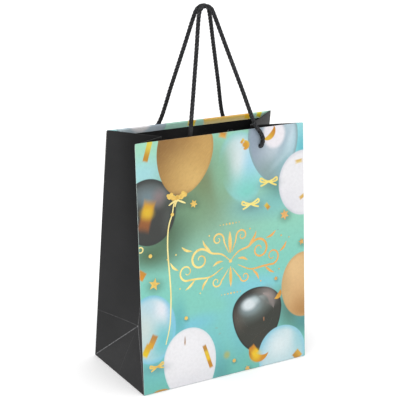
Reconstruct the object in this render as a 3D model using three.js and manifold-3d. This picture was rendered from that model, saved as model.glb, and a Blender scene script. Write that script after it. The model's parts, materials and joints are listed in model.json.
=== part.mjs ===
// Paper gift bag: one printed sheet folded into a carrier, with a turned-in rim, rim cards,
// a base board and two twisted cord handles. The sheet is split at its creases.
// Millimetres, +Z up, front panel towards -Y. The origin is the middle of the base.
import * as THREE from "three";
import { mergeVertices } from "three/addons/utils/BufferGeometryUtils.js";
import Module from "manifold-3d";

const wasm = await Module();
wasm.setup();

// Driving dimensions
const WIDTH = 178;
const DEPTH = 98;
const PANEL_HEIGHT = 229;
const MOUTH_DEPTH = 53;
const MOUTH_TUCK = 41;
const FOOT_TUCK = 20;
const PAPER = 0.5;
const CARD = 0.8;
const BOARD = 1;
const GAP = 0.3;
const HEM_DEPTH = 30;
const HEM_CORNER = 8;
const CARD_HEIGHT = 27;
const CARD_INSET = 7;
const HOLE_X = 40;
const HOLE_BELOW_RIM = 16.5;
const HOLE_RADIUS = 2.5;
const CORD_RADIUS = 2;
const ARCH_RADIUS = 7.3;
const ARCH_X = -6.2;
const ARCH_TOP_Z = 337.4;
const KNOT_RADIUS = 4.5;
const KNOT_LENGTH = 8;
const TAIL_LENGTH = 10;

// Worked out from them
const HALF_WIDTH = WIDTH / 2;
const HALF_DEPTH = DEPTH / 2;
const LEAN = Math.asin((HALF_DEPTH - MOUTH_DEPTH / 2) / PANEL_HEIGHT);
const RIM_Z = PANEL_HEIGHT * Math.cos(LEAN);
const FOOT_Z = Math.sqrt(HALF_DEPTH ** 2 - FOOT_TUCK ** 2);
const MOUTH_DROP = Math.sqrt(HALF_DEPTH ** 2 - (MOUTH_DEPTH / 2) ** 2 - MOUTH_TUCK ** 2);
const RIM_STACK = 2 * PAPER + CARD + 2 * GAP;
const GUSSET_STACK = 2 * PAPER + GAP;
const HOLE_HEIGHT = PANEL_HEIGHT - HOLE_BELOW_RIM;
const CORD_OFF = CORD_RADIUS + 0.4;
const INSIDE_CORD_X = -30.5;
const INSIDE_CORD_IN = RIM_STACK + GAP + CORD_RADIUS;
const INSIDE_PIVOT_HEIGHT = PANEL_HEIGHT + 2.5;
const INSIDE_END_HEIGHT = 200;

const printedPaper = () => new THREE.MeshStandardMaterial({ color: 0x80cbbd, roughness: 0.35, metalness: 0 });
const blackPaper = () => new THREE.MeshStandardMaterial({ color: 0x3a3a3b, roughness: 0.6, metalness: 0 });
const greyboard = () => new THREE.MeshStandardMaterial({ color: 0xa8a39a, roughness: 0.9, metalness: 0 });
const blackCord = () => new THREE.MeshStandardMaterial({ color: 0x1b1b1d, roughness: 0.55, metalness: 0 });

const bag = new THREE.Group();

function add(parent, name, geometry, material) {
  const mesh = new THREE.Mesh(geometry, material);
  mesh.name = name;
  parent.add(mesh);
  return mesh;
}

// ---- Solids ----

function toSolid(geometry) {
  const bare = geometry.index ? geometry.clone() : geometry;
  bare.deleteAttribute("normal");
  bare.deleteAttribute("uv");
  const merged = mergeVertices(bare, 1e-4);
  return new wasm.Manifold(
    new wasm.Mesh({
      numProp: 3,
      vertProperties: new Float32Array(merged.attributes.position.array),
      triVerts: new Uint32Array(merged.index.array),
    }),
  );
}

function fromSolid(solid) {
  const mesh = solid.getMesh();
  const geometry = new THREE.BufferGeometry();
  geometry.setAttribute("position", new THREE.BufferAttribute(new Float32Array(mesh.vertProperties), 3));
  geometry.setIndex(new THREE.BufferAttribute(new Uint32Array(mesh.triVerts), 1));
  geometry.computeVertexNormals();
  return geometry;
}

function cut(geometry, tools) {
  let solid = toSolid(geometry);
  for (const tool of tools) solid = solid.subtract(toSolid(tool));
  return fromSolid(solid);
}

function join(...geometries) {
  let solid = toSolid(geometries[0]);
  for (const other of geometries.slice(1)) solid = solid.add(toSolid(other));
  return fromSolid(solid);
}

function signedVolume(points, triangles) {
  let volume = 0;
  for (const [a, b, c] of triangles) volume += points[a].dot(points[b].clone().cross(points[c]));
  return volume;
}

// A thin sheet as a closed solid. outer and inner are matching grids of points, row by row.
function sheetBetween(outer, inner) {
  const rows = outer.length;
  const columns = outer[0].length;
  const points = [...outer.flat(), ...inner.flat()];
  const at = (side, row, column) => (side * rows + row) * columns + column;
  const triangles = [];
  const quad = (a, b, c, d) => triangles.push([a, b, c], [a, c, d]);
  for (let i = 0; i < rows - 1; i++) {
    for (let j = 0; j < columns - 1; j++) {
      quad(at(0, i, j), at(0, i, j + 1), at(0, i + 1, j + 1), at(0, i + 1, j));
      quad(at(1, i, j), at(1, i + 1, j), at(1, i + 1, j + 1), at(1, i, j + 1));
    }
  }
  const right = columns - 1;
  for (let i = 0; i < rows - 1; i++) {
    quad(at(0, i + 1, 0), at(1, i + 1, 0), at(1, i, 0), at(0, i, 0));
    quad(at(0, i, right), at(1, i, right), at(1, i + 1, right), at(0, i + 1, right));
  }
  const top = rows - 1;
  for (let j = 0; j < columns - 1; j++) {
    quad(at(0, 0, j), at(1, 0, j), at(1, 0, j + 1), at(0, 0, j + 1));
    quad(at(0, top, j + 1), at(1, top, j + 1), at(1, top, j), at(0, top, j));
  }
  const facesOut = signedVolume(points, triangles) > 0;
  const geometry = new THREE.BufferGeometry();
  geometry.setFromPoints(points);
  geometry.setIndex(triangles.flatMap(([a, b, c]) => (facesOut ? [a, b, c] : [a, c, b])));
  geometry.computeVertexNormals();
  return geometry;
}

function roundBar(radius, length, sides = 16) {
  return new THREE.CylinderGeometry(radius, radius, length, sides);
}

function tube(points, radius, steps) {
  const section = new THREE.Shape().absarc(0, 0, radius, 0, 2 * Math.PI);
  const path = new THREE.CatmullRomCurve3(points);
  const geometry = new THREE.ExtrudeGeometry(section, { steps, curveSegments: 5, extrudePath: path });
  geometry.deleteAttribute("normal");
  geometry.deleteAttribute("uv");
  return mergeVertices(geometry, 1e-4);
}

function ball(centre) {
  return new THREE.SphereGeometry(CORD_RADIUS, 12, 10).translate(centre.x, centre.y, centre.z);
}

// ---- Front and rear walls ----
// A wall's own frame: X along the bag's width, Y from the outer face inwards, Z up the panel.

function makeWall(facing) {
  const wall = new THREE.Group();
  const turned = new THREE.Group();
  wall.position.set(0, -HALF_DEPTH, 0);
  wall.rotation.x = -LEAN;
  turned.rotation.z = facing;
  turned.add(wall);
  bag.add(turned);
  wall.updateWorldMatrix(true, false);
  return wall;
}

// Outer face of a turned-in sheet: up to the rim, round a half circle, and down the inside.
// Each step gives how far in, how far up, the inward direction, and how far round the fold it is.
function hemProfile(height, stack, hemDepth) {
  const radius = stack / 2;
  const steps = [];
  const foldSteps = 6;
  for (let i = 0; i <= foldSteps; i++) {
    const angle = (Math.PI * i) / foldSteps;
    steps.push({
      inward: radius * (1 - Math.cos(angle)),
      up: height - radius + radius * Math.sin(angle),
      towardsIn: Math.cos(angle),
      towardsUp: -Math.sin(angle),
      round: i / foldSteps,
    });
  }
  steps.push({ inward: stack, up: height - hemDepth, towardsIn: -1, towardsUp: 0, round: 1 });
  return steps;
}

function hemmedPanel() {
  const steps = [{ inward: 0, up: 0, towardsIn: 1, towardsUp: Math.tan(LEAN), round: 0 }];
  steps.push(...hemProfile(PANEL_HEIGHT, RIM_STACK, HEM_DEPTH));
  const columns = [-1, -0.5, 0, 0.5, 1];
  const row = (step, depth) =>
    columns.map((side) => {
      const x = side * (HALF_WIDTH - HEM_CORNER * step.round);
      return new THREE.Vector3(x, step.inward + step.towardsIn * depth, step.up + step.towardsUp * depth);
    });
  return sheetBetween(
    steps.map((step) => row(step, 0)),
    steps.map((step) => row(step, PAPER)),
  );
}

function holeTool(x, from, to) {
  return roundBar(HOLE_RADIUS, to - from).translate(x, (from + to) / 2, HOLE_HEIGHT);
}

function rimCard(holes) {
  const height = CARD_HEIGHT;
  const middle = PANEL_HEIGHT - RIM_STACK / 2 - GAP - height / 2;
  const card = new THREE.BoxGeometry(WIDTH - 2 * CARD_INSET, CARD, height);
  card.translate(0, PAPER + GAP + CARD / 2, middle);
  return cut(card, holes.map((x) => holeTool(x, 0, RIM_STACK)));
}

function panelWithHoles(holes) {
  return cut(hemmedPanel(), holes.map((x) => holeTool(x, -1, RIM_STACK + 1)));
}

function seamFlap() {
  const narrow = 4;
  const wide = 16;
  const low = 6;
  const high = PANEL_HEIGHT - HEM_DEPTH - 3;
  const strip = new THREE.BoxGeometry(wide - narrow, PAPER, high - low);
  return strip.translate(HALF_WIDTH - (narrow + wide) / 2, PAPER + GAP + PAPER / 2, (low + high) / 2);
}

// ---- Side gussets ----
// Worked out for the right rear quarter, and mirrored by side and half, each 1 or -1.

const CORNER_LOW = new THREE.Vector3(HALF_WIDTH, HALF_DEPTH, 0);
const CORNER_HIGH = new THREE.Vector3(HALF_WIDTH, MOUTH_DEPTH / 2, RIM_Z);
const CREASE_LOW = new THREE.Vector3(HALF_WIDTH - FOOT_TUCK, 0, FOOT_Z);
const CREASE_HIGH = new THREE.Vector3(HALF_WIDTH - MOUTH_TUCK, 0, RIM_Z - MOUTH_DROP);

function gussetHalf(side, half) {
  const cornerGap = 2.8;
  const foldGap = 0.3;
  const hemCorner = 9;
  const hemDepth = HEM_DEPTH - 2;
  const tall = CORNER_LOW.distanceTo(CORNER_HIGH);
  const rowHeights = [0.4, 25, 50, 100, 150];
  const profile = rowHeights.map((up) => ({ inward: 0, up, towardsIn: 1, towardsUp: 0, round: 0 }));
  profile.push(...hemProfile(tall, GUSSET_STACK, hemDepth));
  const columns = [0, 0.25, 0.5, 0.75, 1];
  const mirrored = (point) => new THREE.Vector3(point.x * side, point.y * half, point.z);
  const row = (step, depth) =>
    columns.map((column) => {
      const first = cornerGap + (hemCorner - cornerGap) * step.round;
      const last = HALF_DEPTH - foldGap;
      const across = (first + (last - first) * column) / HALF_DEPTH;
      const edge = CORNER_LOW.clone().lerp(CORNER_HIGH, step.up / tall);
      const crease = CREASE_LOW.clone().lerp(CREASE_HIGH, step.up / tall);
      const low = CORNER_LOW.clone().lerp(CREASE_LOW, across);
      const up = CORNER_HIGH.clone().lerp(CREASE_HIGH, across).sub(low).normalize();
      const inward = crease.clone().sub(edge).cross(up).normalize();
      const point = edge.lerp(crease, across);
      point.addScaledVector(inward, step.inward + step.towardsIn * depth);
      point.addScaledVector(up, step.towardsUp * depth);
      return mirrored(point);
    });
  return sheetBetween(
    profile.map((step) => row(step, 0)),
    profile.map((step) => row(step, PAPER)),
  );
}

function footTriangle(side) {
  const cornerGap = 1.2;
  const tip = 0.98;
  const outward = new THREE.Vector3(FOOT_Z, 0, FOOT_TUCK).normalize();
  const row = (share, depth) =>
    [-1, 0, 1].map((half) => {
      const halfWidth = (HALF_DEPTH - cornerGap) * (1 - share);
      const point = new THREE.Vector3(HALF_WIDTH, 0, 0).lerp(CREASE_LOW, share * tip);
      point.y = half * halfWidth;
      point.addScaledVector(outward, -depth);
      point.z = Math.max(point.z, 0);
      point.x *= side;
      return point;
    });
  const shares = [0, 0.5, 0.97];
  return sheetBetween(
    shares.map((share) => row(share, 0)),
    shares.map((share) => row(share, PAPER)),
  );
}

// ---- Base ----

const FLAP_X = HALF_WIDTH - 1.6;
const FLAP_Y = HALF_DEPTH - 1;
const FLAP_TIP_X = 39.4;
const FLAP_STEP_Y = 10;
const OVERLAP = 8;
const SECOND_LAYER = PAPER + GAP;

// A flap folded in from the front (-1) or the rear (1). Steps are [distance from the middle, underside].
function mainFlap(facing, steps) {
  const narrowing = (FLAP_X - FLAP_TIP_X) / (FLAP_Y - FLAP_STEP_Y);
  const halfWidth = (y) => FLAP_TIP_X + Math.max(y - FLAP_STEP_Y, 0) * narrowing;
  const row = (y, z) => [-1, 0, 1].map((side) => new THREE.Vector3(side * halfWidth(y), y * facing, z));
  return sheetBetween(
    steps.map(([y, z]) => row(y, z)),
    steps.map(([y, z]) => row(y, z + PAPER)),
  );
}

function frontFlap() {
  return mainFlap(-1, [[FLAP_Y, 0], [FLAP_STEP_Y, 0], [-OVERLAP, 0]]);
}

// The rear flap steps up over the front flap where the two are glued together.
function rearFlap() {
  const stepEnd = OVERLAP + GAP;
  return mainFlap(1, [[FLAP_Y, 0], [FLAP_STEP_Y, 0], [stepEnd, SECOND_LAYER], [-OVERLAP, SECOND_LAYER]]);
}

function sideFlap(side) {
  const outer = HALF_WIDTH - 2.4;
  const inner = FLAP_TIP_X + 2 * GAP;
  const halfLength = FLAP_Y - 0.6;
  const chamfer = 14;
  const outline = [
    [outer, -halfLength],
    [outer, halfLength],
    [inner + chamfer, halfLength],
    [inner, halfLength - chamfer],
    [inner, chamfer - halfLength],
    [inner + chamfer, -halfLength],
  ];
  const shape = new THREE.Shape(outline.map(([x, y]) => new THREE.Vector2(x, y)));
  const flap = new THREE.ExtrudeGeometry(shape, { depth: PAPER, bevelEnabled: false });
  flap.translate(0, 0, SECOND_LAYER);
  if (side < 0) flap.rotateZ(Math.PI);
  return flap;
}

function baseBoard() {
  const board = new THREE.BoxGeometry(WIDTH - 6, DEPTH - 5, BOARD);
  return board.translate(0, 0, 2 * SECOND_LAYER + BOARD / 2);
}

// ---- Cords ----

function throughHole(x) {
  return roundBar(CORD_RADIUS, RIM_STACK, 10).translate(x, RIM_STACK / 2, HOLE_HEIGHT);
}

// Overhand knot drawn up against the inside of the rim, as a barrel with a short tail.
function knot(x) {
  const profile = [
    [0, 0],
    [KNOT_RADIUS * 0.75, 0],
    [KNOT_RADIUS, KNOT_LENGTH * 0.25],
    [KNOT_RADIUS, KNOT_LENGTH * 0.7],
    [KNOT_RADIUS * 0.6, KNOT_LENGTH],
    [0, KNOT_LENGTH],
  ];
  const barrel = new THREE.LatheGeometry(profile.map(([r, y]) => new THREE.Vector2(r, y)), 12);
  const tail = roundBar(CORD_RADIUS, TAIL_LENGTH, 10).rotateX(Math.PI / 2);
  tail.translate(0, KNOT_LENGTH / 2, CORD_RADIUS - KNOT_RADIUS - TAIL_LENGTH / 2);
  return join(barrel, tail).translate(x, RIM_STACK + GAP, HOLE_HEIGHT);
}

// Where the inside end of the front cord lies, at a height up the front panel.
function insideCord(height) {
  const down = INSIDE_PIVOT_HEIGHT - height;
  return new THREE.Vector3(INSIDE_CORD_X - 0.08 * down, INSIDE_CORD_IN, height);
}

function insideCordEnd() {
  const topHeight = INSIDE_PIVOT_HEIGHT - CORD_OFF;
  return tube([insideCord(topHeight), insideCord(INSIDE_END_HEIGHT)], CORD_RADIUS, 4);
}

// A strip of paper glued over the end of that cord, with a hump where the cord lies.
function cordPatch() {
  const low = INSIDE_END_HEIGHT - 3;
  const high = INSIDE_END_HEIGHT + 16;
  const wing = 14;
  const flat = 5;
  const face = RIM_STACK + GAP;
  const humpSteps = 8;
  const humpStart = (200 * Math.PI) / 180;
  const humpEnd = (-20 * Math.PI) / 180;
  const profile = (depth) => {
    const radius = CORD_RADIUS + 0.4 + depth;
    const points = [[-wing, face + depth], [-flat, face + depth]];
    for (let i = 0; i <= humpSteps; i++) {
      const angle = humpStart + ((humpEnd - humpStart) * i) / humpSteps;
      points.push([radius * Math.cos(angle), INSIDE_CORD_IN + radius * Math.sin(angle)]);
    }
    points.push([flat, face + depth], [wing, face + depth]);
    return points;
  };
  const row = (height, depth) => {
    const middle = insideCord(height).x;
    return profile(depth).map(([x, inward]) => new THREE.Vector3(middle + x, inward, height));
  };
  return sheetBetween([row(low, 0), row(high, 0)], [row(low, PAPER), row(high, PAPER)]);
}

// The top of a handle: a round arch between its two straight legs. towards is -1 for the front cord.
function archPoints(towards) {
  const legAngle = (14 * Math.PI) / 180;
  const archSteps = 6;
  const points = [];
  for (let i = 0; i <= archSteps; i++) {
    const angle = Math.PI - legAngle - ((Math.PI - 2 * legAngle) * i) / archSteps;
    const below = ARCH_RADIUS * (1 - Math.sin(angle));
    const off = CORD_RADIUS + 0.2 + 0.2 * below;
    points.push(new THREE.Vector3(ARCH_X + ARCH_RADIUS * Math.cos(angle), towards * off, ARCH_TOP_Z - below));
  }
  return points;
}

function between(from, to) {
  return [1 / 3, 2 / 3].map((share) => from.clone().lerp(to, share));
}

// A moving handle: both legs run from where the cord is held up to the arch. Each end is a ball on
// the hinge line, so that it turns in place.
function handle(leftLeg, rightLeg, towards) {
  const arch = archPoints(towards);
  const leftRun = between(leftLeg.at(-1), arch[0]);
  const rightRun = between(arch.at(-1), rightLeg.at(-1));
  const route = [...leftLeg, ...leftRun, ...arch, ...rightRun, ...rightLeg.toReversed()];
  return join(tube(route, CORD_RADIUS, 64), ball(leftLeg[0]), ball(rightLeg[0]));
}

// The stretch of a leg outside a wall, from its hole up over the rim. Points are [x, in, up].
function outsideLeg(wall, points) {
  return points.map(([x, inward, up]) => wall.localToWorld(new THREE.Vector3(x, inward, up)));
}

// ---- Assembly ----

const frontWall = makeWall(0);
const rearWall = makeWall(Math.PI);

add(frontWall, "front_panel", panelWithHoles([HOLE_X]), printedPaper());
add(rearWall, "rear_panel", panelWithHoles([-HOLE_X, HOLE_X]), printedPaper());
add(frontWall, "front_rim_card", rimCard([HOLE_X]), greyboard());
add(rearWall, "rear_rim_card", rimCard([-HOLE_X, HOLE_X]), greyboard());
add(rearWall, "side_seam_flap", seamFlap(), blackPaper());

for (const [sideName, side] of [["left", -1], ["right", 1]]) {
  add(bag, `${sideName}_gusset_front`, gussetHalf(side, -1), blackPaper());
  add(bag, `${sideName}_gusset_rear`, gussetHalf(side, 1), blackPaper());
  add(bag, `${sideName}_foot`, footTriangle(side), blackPaper());
  add(bag, `bottom_flap_${sideName}`, sideFlap(side), blackPaper());
}
add(bag, "bottom_flap_front", frontFlap(), blackPaper());
add(bag, "bottom_flap_rear", rearFlap(), blackPaper());
add(bag, "base_board", baseBoard(), greyboard());

add(frontWall, "front_cord_end_right", throughHole(HOLE_X), blackCord());
add(frontWall, "front_knot_right", knot(HOLE_X), blackCord());
add(frontWall, "front_cord_end_left", insideCordEnd(), blackCord());
add(frontWall, "front_cord_patch", cordPatch(), blackPaper());
for (const [sideName, x] of [["left", HOLE_X], ["right", -HOLE_X]]) {
  add(rearWall, `rear_cord_end_${sideName}`, throughHole(x), blackCord());
  add(rearWall, `rear_knot_${sideName}`, knot(x), blackCord());
}

const frontLeft = outsideLeg(frontWall, [[INSIDE_CORD_X, INSIDE_CORD_IN, INSIDE_PIVOT_HEIGHT]]);
const frontRight = outsideLeg(frontWall, [
  [HOLE_X, -CORD_OFF, HOLE_HEIGHT],
  [HOLE_X + 1.6, -CORD_OFF, HOLE_HEIGHT + 7],
  [HOLE_X - 1.5, -CORD_OFF, HOLE_HEIGHT + 13.5],
  [HOLE_X - 5.8, -CORD_OFF, HOLE_HEIGHT + 19],
]);
const rearLegs = [
  [1, 7],
  [-1, 5.5],
].map(([side, slant]) =>
  outsideLeg(rearWall, [
    [side * HOLE_X, -CORD_OFF, HOLE_HEIGHT],
    [side * HOLE_X, -CORD_OFF, HOLE_HEIGHT + 7],
    [side * (HOLE_X - slant), -CORD_OFF, HOLE_HEIGHT + 18],
  ]),
);
add(bag, "front_handle", handle(frontLeft, frontRight, -1), blackCord());
add(bag, "rear_handle", handle(rearLegs[0], rearLegs[1], 1), blackCord());

export default bag;
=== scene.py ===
"""Printed paper gift bag with twisted cord handles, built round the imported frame.

Lengths are millimetres until a mesh is made. A wall's own frame is X along the bag, Y from the outer
face inwards and Z up the panel. Artwork is laid out in millimetres on the flat panel: across from its
left edge, and up from its base.
"""

import json
import math

import bpy
from mathutils import Matrix, Vector, noise


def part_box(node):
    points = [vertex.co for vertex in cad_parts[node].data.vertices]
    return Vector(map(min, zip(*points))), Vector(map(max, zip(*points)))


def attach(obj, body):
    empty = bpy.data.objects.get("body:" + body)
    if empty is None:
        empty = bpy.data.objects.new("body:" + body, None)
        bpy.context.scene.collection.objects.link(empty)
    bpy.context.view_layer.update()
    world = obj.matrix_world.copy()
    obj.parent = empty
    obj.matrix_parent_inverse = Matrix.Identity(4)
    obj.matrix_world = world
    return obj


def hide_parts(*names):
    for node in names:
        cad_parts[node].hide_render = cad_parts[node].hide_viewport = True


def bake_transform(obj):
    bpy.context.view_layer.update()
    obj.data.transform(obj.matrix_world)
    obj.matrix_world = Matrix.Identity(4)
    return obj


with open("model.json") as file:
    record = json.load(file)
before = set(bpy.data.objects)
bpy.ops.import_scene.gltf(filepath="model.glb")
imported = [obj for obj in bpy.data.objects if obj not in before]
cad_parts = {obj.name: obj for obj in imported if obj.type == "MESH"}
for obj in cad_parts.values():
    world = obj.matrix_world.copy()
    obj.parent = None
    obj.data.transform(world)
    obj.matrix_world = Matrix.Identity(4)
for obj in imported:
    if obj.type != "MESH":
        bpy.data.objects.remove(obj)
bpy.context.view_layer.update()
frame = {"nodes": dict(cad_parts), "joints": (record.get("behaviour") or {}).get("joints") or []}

# ---- Sizes ----

MM = 0.001
PANEL_LOW, PANEL_HIGH = (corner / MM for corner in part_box("front_panel"))
HALF_WIDTH = PANEL_HIGH.x
HALF_DEPTH = -PANEL_LOW.y
PANEL_HEIGHT = 229
MOUTH_DEPTH = 53
# How far the gusset's centre crease stands in from the side, at the mouth and above the foot.
MOUTH_TUCK = 41
FOOT_TUCK = 20
PAPER = 0.35
# From the outer face to the inner face of the rolled rim: in a wall, at its corners, and in a gusset.
RIM_STACK = 2.4
CORNER_STACK = 0.8
GUSSET_STACK = 0.95
# The hem is the part turned in at the rim. Only its top band keeps the print's colours.
HEM_DEPTH = 30
PRINTED_HEM = 5.5
HOLE_X = 40
HOLE_HEIGHT = 212.5
HOLE_RADIUS = 2.05
# Half the width of the square block of cells that a hole takes the place of.
HOLE_BLOCK = 4
CORD_RADIUS = 2
# From the wall's outer face to the middle of a cord that hangs against it.
CORD_OFF = 2.4

LEAN = math.asin((HALF_DEPTH - MOUTH_DEPTH / 2) / PANEL_HEIGHT)
RIM_Z = PANEL_HEIGHT * math.cos(LEAN)
FOOT_Z = math.sqrt(HALF_DEPTH**2 - FOOT_TUCK**2)
MOUTH_DROP = math.sqrt(HALF_DEPTH**2 - (MOUTH_DEPTH / 2) ** 2 - MOUTH_TUCK**2)

FRONT = Matrix.Translation((0, -HALF_DEPTH, 0)) @ Matrix.Rotation(-LEAN, 4, "X")
REAR = Matrix.Rotation(math.pi, 4, "Z") @ FRONT


def smoothstep(low, high, value):
    share = min(max((value - low) / (high - low), 0), 1)
    return share * share * (3 - 2 * share)


def lerp(low, high, share):
    return low + (high - low) * share


# ---- Shader building ----


def colour(code):
    """Linear colour of a six-digit sRGB code."""
    channels = [int(code[i : i + 2], 16) / 255 for i in (0, 2, 4)]
    return (*[c / 12.92 if c <= 0.04045 else ((c + 0.055) / 1.055) ** 2.4 for c in channels], 1)


class Shade:
    """Short hands for the nodes of one tree."""

    def __init__(self, tree):
        self.tree = tree

    def node(self, kind, inputs=(), **settings):
        made = self.tree.nodes.new(kind)
        for name, value in settings.items():
            setattr(made, name, value)
        for key, value in dict(inputs).items():
            self.feed(made.inputs[key], value)
        return made

    def feed(self, socket, value):
        if isinstance(value, bpy.types.NodeSocket):
            self.tree.links.new(value, socket)
        else:
            socket.default_value = value

    def math(self, operation, a, b=0.0):
        return self.node("ShaderNodeMath", {0: a, 1: b}, operation=operation).outputs[0]

    def times(self, a, b):
        return self.math("MULTIPLY", a, b)

    def plus(self, a, b):
        return self.math("ADD", a, b)

    def minus(self, a, b):
        return self.math("SUBTRACT", a, b)

    def multiply_add(self, a, b, c):
        return self.node("ShaderNodeMath", {0: a, 1: b, 2: c}, operation="MULTIPLY_ADD").outputs[0]

    def vector(self, operation, a, b=(0, 0, 0)):
        return self.node("ShaderNodeVectorMath", {0: a, 1: b}, operation=operation)

    def smooth(self, value, low, high, to_low=0.0, to_high=1.0):
        inputs = {0: value, 1: low, 2: high, 3: to_low, 4: to_high}
        return self.node("ShaderNodeMapRange", inputs, interpolation_type="SMOOTHSTEP").outputs[0]

    def mix(self, share, under, over, blend_type="MIX"):
        inputs = {0: share, 6: under, 7: over}
        return self.node("ShaderNodeMix", inputs, data_type="RGBA", blend_type=blend_type).outputs[2]

    def ramp(self, value, low, high, first, second):
        """A colour that runs from the first code to the second as the value goes from low to high."""
        return self.mix(self.smooth(value, low, high), colour(first), colour(second))

    def overlay(self, tint, code, *limits):
        """The tint with another colour over it, as strong as smooth(*limits) says."""
        return self.mix(self.smooth(*limits), tint, colour(code))

    def noise(self, place, scale, detail=2.0, roughness=0.5):
        inputs = {"Vector": place, "Scale": scale, "Detail": detail, "Roughness": roughness}
        return self.node("ShaderNodeTexNoise", inputs).outputs[0]

    def flat(self):
        """Where a point lies on the flat piece, in millimetres."""
        return self.node("ShaderNodeAttribute", attribute_name="flat").outputs["Vector"]

    def stretched(self, place, scale, turn=0.0):
        """The place turned about the sheet's upright direction, and then scaled."""
        inputs = {"Vector": place, "Rotation": (0, 0, turn), "Scale": scale}
        return self.node("ShaderNodeMapping", inputs, vector_type="TEXTURE").outputs[0]

    def bump(self, height, distance, strength=1.0, under=None):
        inputs = {"Height": height, "Distance": distance, "Strength": strength}
        if under is not None:
            inputs["Normal"] = under
        return self.node("ShaderNodeBump", inputs).outputs[0]


def material(name, **settings):
    """A new material with the given uniform values set on its surface shader, and its shade helper."""
    made = bpy.data.materials.new(name)
    made.use_nodes = True
    surface = made.node_tree.nodes["Principled BSDF"]
    for key, value in settings.items():
        surface.inputs[key.replace("_", " ")].default_value = value
    return made, Shade(made.node_tree)


def dressed(made, shade, **links):
    """The material, with the given node outputs connected to its surface shader."""
    surface = made.node_tree.nodes["Principled BSDF"]
    for key, value in links.items():
        shade.feed(surface.inputs[key.replace("_", " ")], value)
    return made


def group(name, inputs, outputs):
    """An empty node group with the given sockets, and its input and output nodes."""
    tree = bpy.data.node_groups.new(name, "ShaderNodeTree")
    for label, kind in inputs.items():
        tree.interface.new_socket(name=label, in_out="INPUT", socket_type=kind)
    for label, kind in outputs.items():
        tree.interface.new_socket(name=label, in_out="OUTPUT", socket_type=kind)
    return tree, Shade(tree), tree.nodes.new("NodeGroupInput"), tree.nodes.new("NodeGroupOutput")


FLOAT = "NodeSocketFloat"
VECTOR = "NodeSocketVector"
LOCAL_INPUTS = ("X", "Y", "A", "B", "C", "D", "E", "F")


def own_frame(centre, size, tilt):
    """The six numbers that take a place to a shape's own frame, its upright axis tilted to the right."""
    cosine, sine = math.cos(tilt), math.sin(tilt)
    a, b = cosine / size[0], -sine / size[0]
    d, e = sine / size[1], cosine / size[1]
    return (a, b, -a * centre[0] - b * centre[1], d, e, -d * centre[0] - e * centre[1])


def shape_group(name, extra, outputs):
    """A group whose first steps give the place in a shape's own frame, as two numbers."""
    inputs = {label: FLOAT for label in (*LOCAL_INPUTS, *extra)}
    tree, shade, given, result = group(name, inputs, {label: FLOAT for label in outputs})
    get = given.outputs

    def row(first, second, third):
        part = shade.multiply_add(get["Y"], get[second], get[third])
        return shade.multiply_add(get["X"], get[first], part)

    return tree, shade, get, result.inputs, row("A", "B", "C"), row("D", "E", "F")


def length_of(shade, across, up):
    squares = shade.plus(shade.times(across, across), shade.times(up, up))
    return shade.math("SQRT", squares)


def oval_group():
    """Cover of an egg shape: Taper narrows its foot, and Longer stretches its lower half."""
    extra = ("Taper", "Longer", "Outer", "Inner")
    tree, shade, get, result, across, up = shape_group("oval", extra, ("Cover", "Reach"))
    below = shade.math("DIVIDE", shade.math("MINIMUM", up, 0.0), get["Longer"])
    upright = shade.plus(shade.math("MAXIMUM", up, 0.0), below)
    narrowing = shade.plus(shade.times(upright, get["Taper"]), 1.0)
    sideways = shade.math("DIVIDE", across, shade.math("MAXIMUM", narrowing, 0.05))
    reach = length_of(shade, sideways, upright)
    shade.feed(result["Cover"], shade.smooth(reach, get["Outer"], get["Inner"]))
    shade.feed(result["Reach"], reach)
    return tree


def glow_group():
    """Cover of a soft oval, at its full Strength in the middle and gone at its edge."""
    tree, shade, get, result, across, up = shape_group("glow", ("Strength",), ("Cover",))
    reach = length_of(shade, across, up)
    shade.feed(result["Cover"], shade.smooth(reach, 1.0, 0.0, 0.0, get["Strength"]))
    return tree


def bar_group():
    """Cover of a tilted rectangle, and how far up it a place lies, from 0 to 1."""
    tree, shade, get, result, across, up = shape_group("bar", ("Outer", "Inner"), ("Cover", "Along"))
    reach = shade.math("MAXIMUM", shade.math("ABSOLUTE", across), shade.math("ABSOLUTE", up))
    shade.feed(result["Cover"], shade.smooth(reach, get["Outer"], get["Inner"]))
    shade.feed(result["Along"], shade.plus(shade.times(up, 0.5), 0.5))
    return tree


def crescent_group():
    """Cover of a tapering arc round its centre, hanging below it before it is tilted."""
    extra = ("Radius", "Width", "Span", "Outer", "Inner")
    tree, shade, get, result, across, up = shape_group("crescent", extra, ("Cover", "Along"))
    angle = shade.math("ARCTAN2", across, shade.times(up, -1.0))
    along = shade.math("DIVIDE", angle, get["Span"])
    within = shade.math("MINIMUM", shade.math("ABSOLUTE", along), 1.0)
    taper = shade.math("COSINE", shade.times(within, math.pi / 2))
    width = shade.math("MAXIMUM", shade.times(taper, get["Width"]), 0.01)
    distance = shade.math("ABSOLUTE", shade.minus(length_of(shade, across, up), get["Radius"]))
    reach = shade.math("DIVIDE", distance, width)
    shade.feed(result["Cover"], shade.smooth(reach, get["Outer"], get["Inner"]))
    shade.feed(result["Along"], shade.plus(shade.times(along, 0.5), 0.5))
    return tree


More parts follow.
